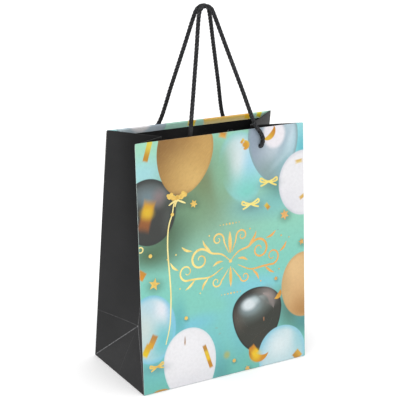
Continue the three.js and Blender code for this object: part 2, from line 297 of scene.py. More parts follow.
def fold_group():
    """How near a point lies to a straight fold from one place to another: 1 on it, 0 at Width."""
    inputs = {"Point": VECTOR, "From": VECTOR, "Run": VECTOR, "Width": FLOAT}
    tree, shade, given, result = group("fold", inputs, {"Cover": FLOAT})
    run = given.outputs["Run"]
    away = shade.vector("SUBTRACT", given.outputs["Point"], given.outputs["From"]).outputs[0]
    dot = shade.vector("DOT_PRODUCT", away, run).outputs["Value"]
    length = shade.vector("DOT_PRODUCT", run, run).outputs["Value"]
    share = shade.node("ShaderNodeClamp", {0: shade.math("DIVIDE", dot, length)}).outputs[0]
    nearest = shade.node("ShaderNodeVectorMath", {0: run, "Scale": share}, operation="SCALE")
    gap = shade.vector("SUBTRACT", away, nearest.outputs[0]).outputs[0]
    distance = shade.vector("LENGTH", gap).outputs["Value"]
    shade.feed(result.inputs["Cover"], shade.smooth(distance, given.outputs["Width"], 0.0))
    return tree


GROUPS = {"oval": oval_group(), "glow": glow_group(), "bar": bar_group(), "crescent": crescent_group(),
          "fold": fold_group()}


def use_group(shade, kind, inputs):
    made = shade.tree.nodes.new("ShaderNodeGroup")
    made.node_tree = GROUPS[kind]
    for label, value in inputs.items():
        shade.feed(made.inputs[label], value)
    return made


class Ink:
    """Colours printed one over the other, on places of the flat panel."""

    def __init__(self, shade, place, base):
        self.shade = shade
        self.place = place
        self.colour = base

    def over(self, tint, share):
        self.colour = self.shade.mix(share, self.colour, tint)

    def shape(self, kind, centre, size, tilt, soft=None, **extra):
        if soft is not None:
            extra.update(outer=1 + soft, inner=1 - soft)
        numbers = (*self.place, *own_frame(centre, size, tilt))
        inputs = dict(zip(LOCAL_INPUTS, numbers))
        inputs.update({label.capitalize(): value for label, value in extra.items()})
        return use_group(self.shade, kind, inputs)

    def oval(self, centre, size, tilt=0.0, taper=0.0, drop=0.0, soft=0.02):
        return self.shape("oval", centre, size, tilt, soft, taper=taper, longer=1 + drop)

    def glow(self, code, centre, size, tilt=0.0, strength=1.0):
        """A patch of colour that fades out over the whole of its size."""
        self.over(colour(code), self.shape("glow", centre, size, tilt, strength=strength).outputs["Cover"])

    def glows(self, patches):
        for patch in patches:
            self.glow(*patch)

    def spot(self, code, centre, size, tilt=0.0, soft=0.3, strength=1.0):
        cover = self.oval(centre, size, tilt, soft=soft).outputs["Cover"]
        self.over(colour(code), self.shade.times(cover, strength))

    def foil(self, shape, low, high, margin):
        """Confetti whose colour runs from one end to the other, but for a margin at each end."""
        tint = self.shade.ramp(shape.outputs["Along"], margin, 1 - margin, low, high)
        self.over(tint, shape.outputs["Cover"])

    def bar(self, centre, size, tilt, low, high, soft=0.2):
        """A strip of foil confetti, coloured from its lower end to its upper end."""
        self.foil(self.shape("bar", centre, size, tilt, soft), low, high, 0.15)

    def crescent(self, centre, radius, width, span, tilt, low, high, soft=0.25):
        """A curled strip of foil confetti."""
        shape = self.shape("crescent", centre, (1, 1), tilt, soft, radius=radius, width=width, span=span)
        self.foil(shape, low, high, 0.2)

    def balloon(self, centre, size, body, rim, glows, tilt=0.0, taper=0.16, drop=0.0, soft=0.018,
                rim_from=0.72, rim_strength=1.0):
        """A balloon: glows of light and shade on its body, and then its rim colour round the edge."""
        shape = self.oval(centre, size, tilt, taper, drop, soft)
        skin = Ink(self.shade, self.place, colour(body))
        skin.glows(glows)
        skin.over(colour(rim), self.shade.smooth(shape.outputs["Reach"], rim_from, 1.02, 0.0, rim_strength))
        self.over(skin.colour, shape.outputs["Cover"])
        return shape


# ---- The printed artwork ----


def print_backdrop(shade, place):
    """Teal ground with the soft shadows and cool light round the balloons."""
    ground = shade.ramp(place[1], 0.0, 70.0, "70beb2", "82cebe")
    ground = shade.overlay(ground, "96d2b8", place[1], 90.0, 170.0)
    ink = Ink(shade, place, ground)
    ink.glows((
        ("a4dcc0", (6, 224), (60, 50)), ("a6dce2", (10, 201), (44, 24)),
        ("8db59c", (66, 160), (90, 80), 0.2, 0.8), ("77835a", (64, 186), (52, 60), -0.4, 0.95),
        ("76a07c", (50, 162), (46, 40), 0.0, 0.7), ("496449", (27, 147), (40, 42), -0.7, 0.95),
        ("4f6d50", (11, 129), (42, 24), 0.0, 0.95), ("78b2b4", (122, 157), (46, 22), 0.1, 0.8),
        ("7cc2c2", (150, 160), (30, 26), 0.0, 0.7), ("5f928c", (149, 173), (25, 20), 0.3, 0.85),
        ("96d8e0", (174, 216), (30, 56)), ("60bcc8", (176, 205), (14, 24), 0.0, 0.9),
        ("84cdd8", (120, 82), (60, 16)), ("7fc6c4", (96, 56), (16, 56), 0.0, 0.6),
        ("7cc8dc", (50, 56), (44, 13), -0.1, 1.0), ("5fb2b6", (38, 62), (14, 34), 0.0, 0.9),
        ("6eb8bc", (103, 31), (16, 32), 0.0, 0.7), ("4f929a", (80, 8), (20, 38), -0.15, 0.6),
        ("6cbcc4", (14, 26), (44, 30), 0.0, 0.6), ("7cccd8", (120, 54), (46, 46), 0.0, 0.95),
        ("78c6ce", (62, 36), (46, 44), 0.0, 0.8), ("4f7d70", (160, 50), (28, 42), -0.5, 0.95),
        ("4f8f90", (177, 36), (22, 20), 0.0, 0.9),
    ))
    return ink


def gold_balloon(ink, sheet_place):
    """The large gold balloon, with a fine slanting glitter hatch."""
    shade = ink.shade
    shape = ink.oval((49.0, 214.2), (28.3, 36.8), 0.235, 0.13, 0.0, 0.012)
    skin = Ink(shade, ink.place, colour("b08648"))
    skin.glows((
        ("8c6430", (22, 226), (54, 66), 0.2), ("d9b26b", (62, 190), (54, 42), 0.5),
        ("caa15c", (76, 218), (30, 40), 0.0, 0.9),
    ))
    hatch = shade.noise(shade.stretched(sheet_place, (9, 0.75, 1), 0.8), 1.0, 3.0, 0.6)
    grain = shade.noise(sheet_place, 1.6, 1.0)
    glitter = shade.plus(shade.times(hatch, 0.75), shade.times(grain, 0.25))
    skin.over(colour("e8c67c"), shade.smooth(glitter, 0.52, 0.72, 0.0, 0.26))
    skin.over(colour("8a6536"), shade.smooth(glitter, 0.48, 0.3, 0.0, 0.26))
    skin.over(colour("9b7642"), shade.smooth(shape.outputs["Reach"], 0.9, 1.0, 0.0, 0.35))
    ink.over(skin.colour, shape.outputs["Cover"])


def upper_balloons(ink):
    ink.balloon((108.8, 195.4), (24, 33), "a9d9e0", "8dcbc6", [
        ("dbe8ec", (103, 208), (28, 38), -0.3, 1.0),
        ("e4ecee", (104, 196), (12, 20), -0.2, 0.6),
        ("9fd4ea", (119, 196), (16, 44), 0.2, 0.85),
        ("7fd0c4", (115, 170), (46, 34), 0.0, 1.0),
        ("8ab59c", (83, 194), (29, 62), 0.1, 0.95),
    ], tilt=-0.2, taper=0.06, soft=0.07, rim_strength=0.8)
    ink.glow("86b494", (85.5, 192), (15, 46), -0.1, 1.0)
    ink.balloon((143.5, 214.5), (27.4, 36.6), "a2b3bd", "86a3a8", [
        ("93a2b2", (119, 214), (26, 48), 0.1, 1.0),
        ("cfdae3", (152, 208), (34, 28), 0.3, 0.65),
        ("86a09f", (139, 184), (40, 24), 0.0, 0.95),
        ("a5ccd8", (168, 206), (22, 46), 0.0, 0.9),
        ("8ab6bd", (158, 191), (24, 28), 0.3, 0.8),
        ("bcd3da", (153, 199), (5, 26), 0.9, 0.45),
        ("cbdfe8", (163, 222), (9, 32), 0.1, 0.75),
        ("9fb4c2", (156, 214), (6, 30), 0.5, 0.6),
    ], taper=0.14, rim_from=0.86)
    ink.spot("efebf0", (144.5, 222), (12, 13), 0.0, 0.2)
    ink.balloon((177, 172.3), (28, 31), "ecebee", "d6d8e0", [
        ("e0dfe5", (158, 150), (30, 30), 0.0, 0.7),
    ], taper=0.03, rim_from=0.86)
    ink.balloon((11.4, 167.2), (26.8, 29.8), "3f403e", "343836", [
        ("626d6c", (15, 184), (40, 20), 0.0, 0.85),
        ("75878d", (12, 181), (24, 13), 0.2, 0.8),
        ("6f8a94", (10, 177), (8, 10), 0.2, 0.6),
        ("917a7a", (22, 179), (11, 13), 0.3, 0.75),
        ("363835", (14, 147), (46, 30), 0.0, 0.8),
        ("565c57", (31, 160), (10, 26), 0.2, 0.5),
    ], taper=0.02, rim_from=0.8, rim_strength=0.95)


def lower_balloons(ink):
    ink.balloon((10.2, 60), (24.6, 32), "b4d8df", "82c8de", [
        ("e8ebf2", (23, 77), (25, 22), 0.3, 1.0),
        ("e8ebf2", (27, 72), (10, 12), 0.5, 0.7),
        ("a4d4ea", (5, 79), (14, 22), 0.0, 0.8),
        ("86c8e6", (32, 64), (9, 38), -0.2, 0.9),
        ("6ec4c9", (23, 47), (32, 30), 0.0, 0.95),
        ("d2ddd6", (3, 62), (18, 40), 0.0, 0.8),
    ], taper=0.02, soft=0.03, rim_from=0.8)
    ink.balloon((48.8, 22), (27.6, 32.4), "ebe9ec", "c4dade", [
        ("dfdfe4", (50, 2), (60, 14), 0.0, 0.6),
        ("f3f1f4", (44, 36), (36, 32), 0.0, 0.9),
    ], tilt=-0.06, taper=0.02, drop=0.2, soft=0.012, rim_from=0.92, rim_strength=0.6)
    lower_black_balloon(ink)
    ink.balloon((176.6, 73), (25.8, 32), "dab17b", "c79e66", [
        ("e4bf88", (166, 92), (26, 24), 0.3, 0.9),
        ("b07f45", (178, 46), (36, 30), 0.0, 0.9),
        ("c7a873", (154, 72), (12, 34), 0.0, 0.7),
    ], taper=0.02, soft=0.025, rim_from=0.86, rim_strength=0.7)
    ink.balloon((150.6, 9.6), (27, 26.8), "bfdbe0", "90cbdc", [
        ("8fcbde", (131, 26), (26, 20), -0.6, 0.9),
        ("e4eef0", (147, 18), (24, 22), 0.0, 0.85),
        ("dfeaec", (160, 24), (8, 24), -0.3, 0.5),
        ("97cdd6", (172, 20), (16, 34), 0.0, 0.8),
    ], taper=0.02, drop=0.2, rim_from=0.78)


def lower_black_balloon(ink):
    """The glossy black balloon, with its window highlight and the light along its edge."""
    ink.balloon((122.8, 53.4), (27.4, 26.2), "34352d", "1e1c1a", [
        ("2b2826", (104, 70), (26, 22), -0.5, 0.9),
        ("554d44", (101, 52), (16, 20), 0.0, 0.8),
        ("2f332b", (138, 42), (34, 26), 0.0, 0.8),
        ("3a3932", (124, 32), (28, 20), 0.0, 0.6),
        ("6f7c78", (122, 60), (28, 16), -0.4, 0.85),
        ("817c78", (133, 71), (22, 14), 0.6, 0.7),
    ], drop=0.4, taper=0.14, rim_from=0.9)
    ink.glow("8a7f7b", (137, 70), (9, 15), -0.55, 0.75)
    ink.crescent((121, 54), 20.4, 3.4, 0.55, -2.2, "7f7773", "9b8f8b", 0.9)
    ink.crescent((122, 55), 15.5, 2.2, 0.5, -2.5, "686e6a", "8d9390", 0.9)
    ink.spot("8b9c9f", (115.6, 63), (11.5, 8.4), -0.15, 0.5, 0.9)
    ink.spot("dde6e9", (114, 64.4), (7.6, 5.4), -0.1, 0.45, 0.95)
    ink.glow("c3d2d6", (121, 67.6), (8, 5), 0.5, 0.8)


def print_confetti(ink):
    ink.bar((12.4, 221.4), (2.5, 9.2), 0.32, "c38a24", "e0cd4e", 0.14)
    ink.bar((9, 164.2), (5.2, 12.4), 0.3, "92582c", "d39a26", 0.35)
    ink.glow("e8c22a", (9.8, 167), (10, 9), 0.2, 0.8)
    ink.bar((1.6, 111.8), (3.9, 3.9), 0.62, "dd8f1c", "c98a2e", 0.2)
    ink.bar((10.6, 48.8), (3.0, 6.4), 0.5, "dca02a", "bb8542", 0.22)
    ink.bar((4.6, 41.6), (3.2, 6), 0.55, "e6c61e", "d8a62a", 0.28)
    ink.bar((67.6, 23), (1.9, 12), -0.31, "c98a24", "c08a34", 0.1)
    ink.bar((67.3, 24), (1.85, 5), -0.31, "efc21e", "e6c434", 0.45)
    ink.bar((89.2, 227.2), (3.6, 2.6), 0.3, "dba54a", "c98a34", 0.5)
    ink.crescent((111.4, 215.4), 3.6, 2.3, 1.75, -1.45, "d8972a", "e2b63c", 0.35)
    ink.spot("d59a2a", (112.6, 215.6), (2.8, 2.6), 0.0, 0.35)
    ink.bar((109.8, 219.2), (1.3, 2.4), 0.7, "d89a2c", "e6bf4a", 0.35)
    ink.crescent((134.8, 228.4), 10.2, 2.7, 1.0, -0.73, "e6b93a", "c9861e", 0.25)
    ink.bar((135.7, 155.2), (2.0, 3.1), -0.7, "c98f2a", "e2c03c", 0.35)
    ink.bar((172.2, 193), (3.6, 1.7), -0.1, "e6cf96", "dcb45a", 0.5)
    ink.bar((175.7, 158.8), (3.0, 1.7), -0.5, "d8a84c", "dcb668", 0.4)
    ink.crescent((142.6, 71.6), 6.8, 2.3, 0.9, -0.85, "e0a63a", "cf8c2a", 0.3)
    ink.crescent((126, 20.6), 11.8, 3.8, 1.3, 0.42, "bd761e", "d38c24", 0.2)
    ink.bar((118.2, 18.2), (3.6, 4.8), -0.6, "e8b61e", "cc861e", 0.25)
    ink.glow("f2cc24", (121, 12.5), (9, 9), 0.4, 0.9)
    ink.bar((168.6, 3), (4.2, 4.2), 0.9, "c08a2c", "d6a63e", 0.2)
    ink.spot("a9b26e", (88.3, 20), (3.2, 3.4), 0.0, 0.7, 0.9)
    ink.bar((43.9, 43), (0.7, 3.4), 0.05, "a87840", "b8a39a", 0.6)
    ink.spot("8fb0a2", (77.7, 48.5), (1.6, 0.5), 0.2, 0.6, 0.8)
    ink.spot("8fb0a2", (81, 42.2), (1.4, 0.5), -0.4, 0.6, 0.8)
    ink.spot("c8923a", (17.7, 0), (7.4, 2), 0.0, 0.2)
    # The gold band printed on the turned-in hem. Its colours are painted lighter, as painted light on that
    # shaded band.
    ink.bar((52, 233.2), (25, 3.4), 0.0, "f4b250", "f6cc86", 0.06)
    ink.bar((28.5, 232.6), (3.2, 2.6), 0.2, "e8961a", "ecae24", 0.3)
    ink.bar((90.5, 232.6), (4, 2.8), 0.2, "e8a826", "f0c832", 0.3)
    ink.bar((15, 232), (3, 3), 0.3, "e2d43c", "dccc24", 0.3)
    ink.bar((130.2, 47), (0.6, 1.7), 0.0, "9a6a4a", "a87a58", 0.5)
    ink.spot("86a8a2", (147.5, 131), (0.9, 0.6), 0.0, 0.6, 0.6)


STAR_PLACES = ((56.8, 168.8, 4.0, 6, 0.3), (155.2, 144.3, 5.2, 6, 0.1), (14.2, 101.6, 6.0, 5, -0.25),
               (174.7, 115.2, 3.6, 5, 0.2), (111, 1.6, 3.2, 6, 0.2))
BEAD_PLACES = ((11.3, 128, 1.8), (144.3, 84.2, 1.7), (96.3, 12.7, 1.8), (45.6, 64.3, 1.8),
               (34.7, 162.2, 1.7))
STRING_ROUTE = ((38.4, 175.6), (36.6, 171), (34.6, 162.5), (31.6, 155), (29.8, 147), (28.9, 134.7),
                (29, 124.7), (30, 106.3), (30.6, 91.3), (30.1, 76.3), (28.8, 61.3), (26.6, 52), (24, 43.4))


def foil_shadows(ink):
    """The painted shadow that each charm casts on the ground, down and to the right."""
    for across, up, size, _, _ in STAR_PLACES:
        ink.glow("4e6b52", (across + 0.8, up - 1.6), (size * 2.4, size * 1.9), 0.0, 0.55)
    for across, up, size in BEAD_PLACES:
        ink.glow("4e6b52", (across + 0.6, up - 1.2), (size * 2.6, size * 2.2), 0.0, 0.55)
    ink.glow("2d3630", (35.2, 163.5), (5, 22), 0.22, 0.9)
    ink.glow("3d4438", (40, 173), (30, 12), 0.0, 0.55)
    for across, up in ((117.3, 159.7), (137.7, 178), (12.7, 25)):
        ink.glow("5f7f80", (across + 0.6, up - 2.4), (22, 8), 0.0, 0.45)


def printed_paper():
    """Glossy printed face of a panel."""
    made, shade = material("printed_paper", Roughness=0.34, Specular_IOR_Level=0.35)
    place = shade.flat()
    parts = shade.node("ShaderNodeSeparateXYZ", {0: place})
    across, up = parts.outputs[0], parts.outputs[1]
    ink = print_backdrop(shade, (across, up))
    upper_balloons(ink)
    gold_balloon(ink, place)
    lower_balloons(ink)
    print_confetti(ink)
    foil_shadows(ink)
    # Paler along the side edges: print rubbed at the creases, and painted highlight where the rounded edge
    # catches the light.
    edge = shade.math("MINIMUM", across, shade.minus(2 * HALF_WIDTH, across))
    scuff = shade.noise(shade.stretched(place, (1, 8, 1)), 1.2, 4.0, 0.65)
    wear_and_highlight = shade.times(shade.smooth(edge, 0.8, 0.1), shade.smooth(scuff, 0.35, 0.65, 0.15, 0.75))
    ink.over(colour("dceee9"), wear_and_highlight)
    low = shade.smooth(up, 0.8, 0.1)
    ink.over(colour("c6d9d6"), shade.times(low, shade.smooth(scuff, 0.35, 0.6, 0.1, 0.6)))
    # Painted light: the print on the turned-in band is brightened, as if more light reached it.
    painted_hem_light = shade.smooth(up, PANEL_HEIGHT + 0.5, PANEL_HEIGHT + 2.5, 0.0, 0.85)
    ink.colour = shade.mix(painted_hem_light, ink.colour, ink.colour, "SCREEN")
    mottle = shade.noise(place, 0.35, 3.0)
    ink.over(colour("000000"), shade.smooth(mottle, 0.3, 0.75, 0.12, 0.17))
    grain = shade.noise(place, 2.4, 3.0, 0.6)
    cockle = shade.bump(shade.noise(place, 0.03, 1.0), 0.0006)
    return dressed(made, shade, Base_Color=ink.colour, Roughness=shade.smooth(grain, 0.3, 0.7, 0.28, 0.42),
                   Normal=shade.bump(grain, 0.00002, 0.5, cockle))


# ---- Other materials ----


def black_paper():
    """Matt charcoal laminate, with painted shade towards the top of the centre crease, and pale folds that
    are cracked laminate and partly painted highlight.
    """
    made, shade = material("black_paper", Roughness=0.55, Specular_IOR_Level=0.24)
    place = shade.flat()
    broad = shade.noise(place, 0.018, 3.0, 0.55)
    tint = shade.ramp(broad, 0.3, 0.7, "222223", "29292a")
    fibre = shade.noise(shade.stretched(place, (1, 3, 1)), 1.3, 4.0, 0.6)
    tint = shade.overlay(tint, "505052", fibre, 0.55, 0.8, 0.0, 0.12)
    half = HALF_DEPTH
    tall = PANEL_HEIGHT
    parts = shade.node("ShaderNodeSeparateXYZ", {0: place})
    from_crease = shade.math("ABSOLUTE", shade.minus(parts.outputs[0], half))
    up = parts.outputs[1]
    # Painted shade: darker towards the top of the centre crease, where the fold lies in shade.
    leaning = shade.plus(from_crease, shade.times(shade.minus(up, 150.0), -0.12))
    painted_crease_shade = shade.times(shade.smooth(leaning, 36.0, 12.0), shade.smooth(up, 60.0, 180.0))
    tint = shade.mix(shade.times(painted_crease_shade, 0.72), tint, colour("0d0d0e"))
    # Pale fold lines: cracked laminate, and partly painted highlight where a crease catches the light.
    folds = (((0, 0), (half, half), 0.7, 0.5), ((2 * half, 0), (-half, half), 0.8, 0.55),
             ((0, half), (2 * half, 0), 0.6, 0.16), ((half, half), (0, tall - half), 0.8, 0.3),
             ((half, 0), (0, half), 0.5, 0.07), ((0, 0), (0, tall), 0.7, 0.4),
             ((2 * half, 0), (0, tall), 0.7, 0.4), ((0, 0), (2 * half, 0), 0.7, 0.35))
    breakup = shade.smooth(shade.noise(place, 0.5, 4.0, 0.7), 0.38, 0.6, 0.25, 1.0)
    ridges = None
    for start, run, width, strength in folds:
        lines = {"Point": place, "From": (*start, 0), "Run": (*run, 0), "Width": width}
        cover = use_group(shade, "fold", lines).outputs["Cover"]
        wear_and_highlight = shade.times(shade.times(cover, breakup), strength)
        tint = shade.mix(wear_and_highlight, tint, colour("a9a9ab"))
        ridges = cover if ridges is None else shade.math("MAXIMUM", ridges, cover)
    cockle = shade.noise(place, 0.035, 1.5)
    grain = shade.noise(place, 3.2, 2.0)
    under = shade.bump(cockle, 0.0012, 0.8, shade.bump(ridges, 0.00015, 0.5))
    return dressed(made, shade, Base_Color=tint, Roughness=shade.smooth(fibre, 0.3, 0.75, 0.48, 0.64),
                   Normal=shade.bump(grain, 0.00002, 0.6, under))


def raw_paper():
    """Uncoated white inside of the sheet."""
    made, shade = material("raw_paper", Roughness=0.85, Specular_IOR_Level=0.25)
    place = shade.flat()
    cloud = shade.noise(place, 0.12, 4.0, 0.6)
    fibre = shade.noise(shade.stretched(place, (2, 0.6, 1)), 1.4, 3.0, 0.7)
    tint = shade.ramp(cloud, 0.3, 0.7, "e2dfd8", "ece9e3")
    tint = shade.overlay(tint, "cfcabf", fibre, 0.6, 0.8, 0.0, 0.3)
    return dressed(made, shade, Base_Color=tint, Roughness=shade.smooth(fibre, 0.3, 0.7, 0.78, 0.92),
                   Normal=shade.bump(fibre, 0.00004, 0.7))


def board_material():
    """Recycled greyboard with flecks of fibre."""
    made, shade = material("greyboard", Roughness=0.92, Specular_IOR_Level=0.2)
    position = shade.node("ShaderNodeNewGeometry").outputs["Position"]
    place = shade.vector("MULTIPLY", position, (1 / MM,) * 3).outputs[0]
    cloud = shade.noise(place, 0.09, 4.0, 0.6)
    tint = shade.ramp(cloud, 0.3, 0.7, "9b968d", "aea99f")
    fleck = shade.noise(shade.stretched(place, (1.1, 0.45, 1)), 1.1, 3.0, 0.75)
    tint = shade.overlay(tint, "6f6a62", fleck, 0.62, 0.72, 0.0, 0.7)
    tint = shade.overlay(tint, "c9c5bb", fleck, 0.34, 0.26, 0.0, 0.6)
    return dressed(made, shade, Base_Color=tint, Normal=shade.bump(fleck, 0.00008, 0.8))


def cord_material():
    """Black twisted polypropylene cord with fine fibres along each strand, and painted highlights on its
    strands.
    """
    made, shade = material("black_cord", Roughness=0.5, Specular_IOR_Level=0.32)
    place = shade.flat()
    fibre = shade.noise(shade.stretched(place, (0.4, 0.4, 2)), 1.6, 4.0, 0.7)
    # Painted highlights: lighter flecks where the strands would catch the light.
    painted_glints = shade.noise(shade.stretched(place, (0.9, 0.9, 1.8)), 1.0, 2.0)
    tint = shade.ramp(fibre, 0.35, 0.7, "0a0a0b", "1f1f22")
    tint = shade.overlay(tint, "57575c", painted_glints, 0.52, 0.68, 0.0, 0.6)
    return dressed(made, shade, Base_Color=tint, Roughness=shade.smooth(fibre, 0.3, 0.7, 0.42, 0.62),
                   Normal=shade.bump(fibre, 0.00012, 0.9))


def foil_material(name, left, right, shadow):
    """Gold foil whose tint runs across the panel, with a faint pressed grain."""
    made, shade = material(name, Roughness=0.36, Metallic=0.75)
    place = shade.flat()
    across = shade.node("ShaderNodeSeparateXYZ", {0: place}).outputs[0]
    tint = shade.mix(shade.smooth(across, 40.0, 150.0), colour(left), colour(right))
    sheen = shade.noise(shade.stretched(place, (7, 16, 1)), 1.0, 2.0)
    tint = shade.mix(shade.smooth(sheen, 0.42, 0.75, 0.0, 0.6), tint, colour(shadow))
    grain = shade.noise(place, 3.5, 2.0)
    return dressed(made, shade, Base_Color=tint, Roughness=shade.smooth(grain, 0.3, 0.7, 0.3, 0.45),
                   Normal=shade.bump(grain, 0.00002, 0.6))


PRINT = printed_paper()
BLACK = black_paper()
RAW = raw_paper()
BOARD = board_material()
CORD = cord_material()
SCROLL_FOIL = foil_material("scroll_foil", "f0dd8e", "e0a460", "d0a04c")
PALE_FOIL = foil_material("pale_foil", "f0e29c", "eada7c", "dcc070")
GOLD_FOIL = foil_material("gold_foil", "e2c068", "d8a868", "b8883c")


# ---- Pieces ----


def new_object(name, data):
    made = bpy.data.objects.new(name, data)
    bpy.context.scene.collection.objects.link(made)
    return made


def make_piece(name, points, faces, materials, flats, slots=None, sharp=50):
    """A mesh from points in millimetres, each with its place on the flat piece."""
    mesh = bpy.data.meshes.new(name)
    mesh.from_pydata([Vector(point) * MM for point in points], [], faces)
    for made in materials:
        mesh.materials.append(made)
    if slots is not None:
        mesh.polygons.foreach_set("material_index", slots)
    mesh.polygons.foreach_set("use_smooth", [True] * len(mesh.polygons))
    places = mesh.attributes.new("flat", "FLOAT_VECTOR", "POINT")
    places.data.foreach_set("vector", [value for place in flats for value in place])
    mesh.set_sharp_from_angle(angle=math.radians(sharp))
    return new_object(name, mesh)


def fasten(piece, slot, *nodes):
    """A piece that rides on the bag itself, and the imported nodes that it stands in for."""
    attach(piece, "root")
    if nodes:
        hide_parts(*nodes)


# ---- Cords ----


def smooth_route(points, step):
    """Points about one step apart on a centripetal Catmull-Rom curve through the given points."""
    points = [Vector(point) for point in points]
    ends = [2 * points[0] - points[1], *points, 2 * points[-1] - points[-2]]
    fine = []
    for i in range(1, len(ends) - 2):
        a, b, c, d = ends[i - 1 : i + 3]
        times = [0.0]
        for start, end in ((a, b), (b, c), (c, d)):
            times.append(times[-1] + math.sqrt((end - start).length))
        samples = max(4, math.ceil((c - b).length / step * 2))
        for k in range(samples):
            t = times[1] + (times[2] - times[1]) * k / samples
            fine.append(spline_point((a, b, c, d), times, t))
    fine.append(points[-1])
    return spaced(fine, step)


def spline_point(points, times, t):
    level = list(points)
    for width in (1, 2):
        level = [
            level[k].lerp(level[k + 1], (t - times[k]) / (times[k + width] - times[k]))
            for k in range(len(level) - 1)
        ]
    return level[0].lerp(level[1], (t - times[1]) / (times[2] - times[1]))


def spaced(points, step):
    """The same line with evenly spaced points."""
    lengths = [0.0]
    for start, end in zip(points, points[1:]):
        lengths.append(lengths[-1] + (end - start).length)
    count = max(2, round(lengths[-1] / step))
    result = []
    k = 0
    for i in range(count + 1):
        target = lengths[-1] * i / count
        while k < len(lengths) - 2 and lengths[k + 1] < target:
            k += 1
        gap = lengths[k + 1] - lengths[k]
        result.append(points[k].lerp(points[k + 1], (target - lengths[k]) / gap if gap else 0))
    return result


def step_at(line, i):
    """The step from the point before to the point after."""
    return line[min(i + 1, len(line) - 1)] - line[max(i - 1, 0)]


def frames_along(route):
    """A side and a second side direction at each point, carried along without twisting."""
    tangents = [step_at(route, i).normalized() for i in range(len(route))]
    side = tangents[0].orthogonal().normalized()
    frames = []
    for tangent in tangents:
        side = (side - tangent * side.dot(tangent)).normalized()
        frames.append((side.copy(), tangent.cross(side)))
    return frames


STRANDS = 4
TWIST_PITCH = 14
STRAND_RADIUS = 0.46
STRAND_SIDES = 10
ROPE_STEP = 0.55
CUT_SIZE = 0.35
CUT_TAPER = 1.2
STRAND_OVAL = 1.12


def make_rope(name, route, radius):
    """A twisted rope along a route: its strands are each wound round the middle, and taper at the ends."""
    points, faces, flats = [], [], []
    frames = frames_along(route)
    strand = radius * STRAND_RADIUS
    offset = radius - strand
    for k in range(STRANDS):
        first = len(points)
        for i, (place, (side, other)) in enumerate(zip(route, frames)):
            along = i * ROPE_STEP
            turn = 2 * math.pi * (k / STRANDS + along / TWIST_PITCH)
            out = side * math.cos(turn) + other * math.sin(turn)
            round_ = other * math.cos(turn) - side * math.sin(turn)
            near_end = min(i, len(route) - 1 - i) * ROPE_STEP
            size = min(1, CUT_SIZE + near_end / CUT_TAPER)
            for j in range(STRAND_SIDES):
                angle = 2 * math.pi * j / STRAND_SIDES
                reach = (out * math.cos(angle) + round_ * math.sin(angle) * STRAND_OVAL) * strand * size
                points.append(place + out * offset + reach)
                flats.append((math.cos(angle) + 3 * k, math.sin(angle), along))
        last = first + (len(route) - 1) * STRAND_SIDES
        for a in range(first, last, STRAND_SIDES):
            for j in range(STRAND_SIDES):
                other = (j + 1) % STRAND_SIDES
                faces.append((a + j, a + other, a + other + STRAND_SIDES, a + j + STRAND_SIDES))
        faces.append(tuple(first + j for j in reversed(range(STRAND_SIDES))))
        faces.append(tuple(last + j for j in range(STRAND_SIDES)))
    return make_piece(name, points, faces, [CORD], flats)


ARCH_RADIUS = 7.3
ARCH_X = -6.2
ARCH_TOP_Z = 337.4
INSIDE_CORD_X = -30.5
INSIDE_CORD_IN = 4.7
INSIDE_PIVOT_HEIGHT = 231.5
INSIDE_END_HEIGHT = 200


def arch_points(towards):
    """The round top of a handle. towards is -1 for the front cord and 1 for the rear."""
    leg_angle = math.radians(14)
    arch_steps = 6
    points = []
    for i in range(arch_steps + 1):
        angle = math.pi - leg_angle - (math.pi - 2 * leg_angle) * i / arch_steps
        below = ARCH_RADIUS * (1 - math.sin(angle))
        off = CORD_RADIUS + 0.2 + 0.2 * below
        points.append(Vector((ARCH_X + ARCH_RADIUS * math.cos(angle), towards * off, ARCH_TOP_Z - below)))
    return points


def between(start, end):
    return [start.lerp(end, share) for share in (1 / 3, 2 / 3)]


def handle_route(left_leg, right_leg, towards):
    arch = arch_points(towards)
    left_run = between(left_leg[-1], arch[0])
    right_run = between(arch[-1], right_leg[-1])
    return [*left_leg, *left_run, *arch, *right_run, *reversed(right_leg)]


def inside_cord(height):
    """Where the inside end of the front cord lies, at a height up the front panel."""
    down = INSIDE_PIVOT_HEIGHT - height
    return Vector((INSIDE_CORD_X - 0.08 * down, INSIDE_CORD_IN, height))


def through_hole(wall, side, outside):
    """From the knot inside the rim, out through a hole, and on up the outside."""
    inside = [(side * HOLE_X, inward, HOLE_HEIGHT) for inward in (4.2, 1.4, -0.9)]
    return [wall @ Vector(point) for point in (*inside, *outside)]


INSIDE_HEIGHTS = (INSIDE_END_HEIGHT, 210, 220, INSIDE_PIVOT_HEIGHT)
FRONT_LEFT_LEG = [FRONT @ inside_cord(height) for height in INSIDE_HEIGHTS]
FRONT_RIGHT_LEG = through_hole(FRONT, 1, [
    (HOLE_X + 0.3, -CORD_OFF, HOLE_HEIGHT + 1.2),
    (HOLE_X + 1.6, -CORD_OFF, HOLE_HEIGHT + 7),
    (HOLE_X - 1.5, -CORD_OFF, HOLE_HEIGHT + 13.5),
    (HOLE_X - 5.8, -CORD_OFF, HOLE_HEIGHT + 19),
])
REAR_LEGS = [through_hole(REAR, side, [
    (side * HOLE_X, -CORD_OFF, HOLE_HEIGHT + 1.2),
    (side * HOLE_X, -CORD_OFF, HOLE_HEIGHT + 7),
    (side * (HOLE_X - slant), -CORD_OFF, HOLE_HEIGHT + 18),
]) for side, slant in ((1, 7), (-1, 5.5))]


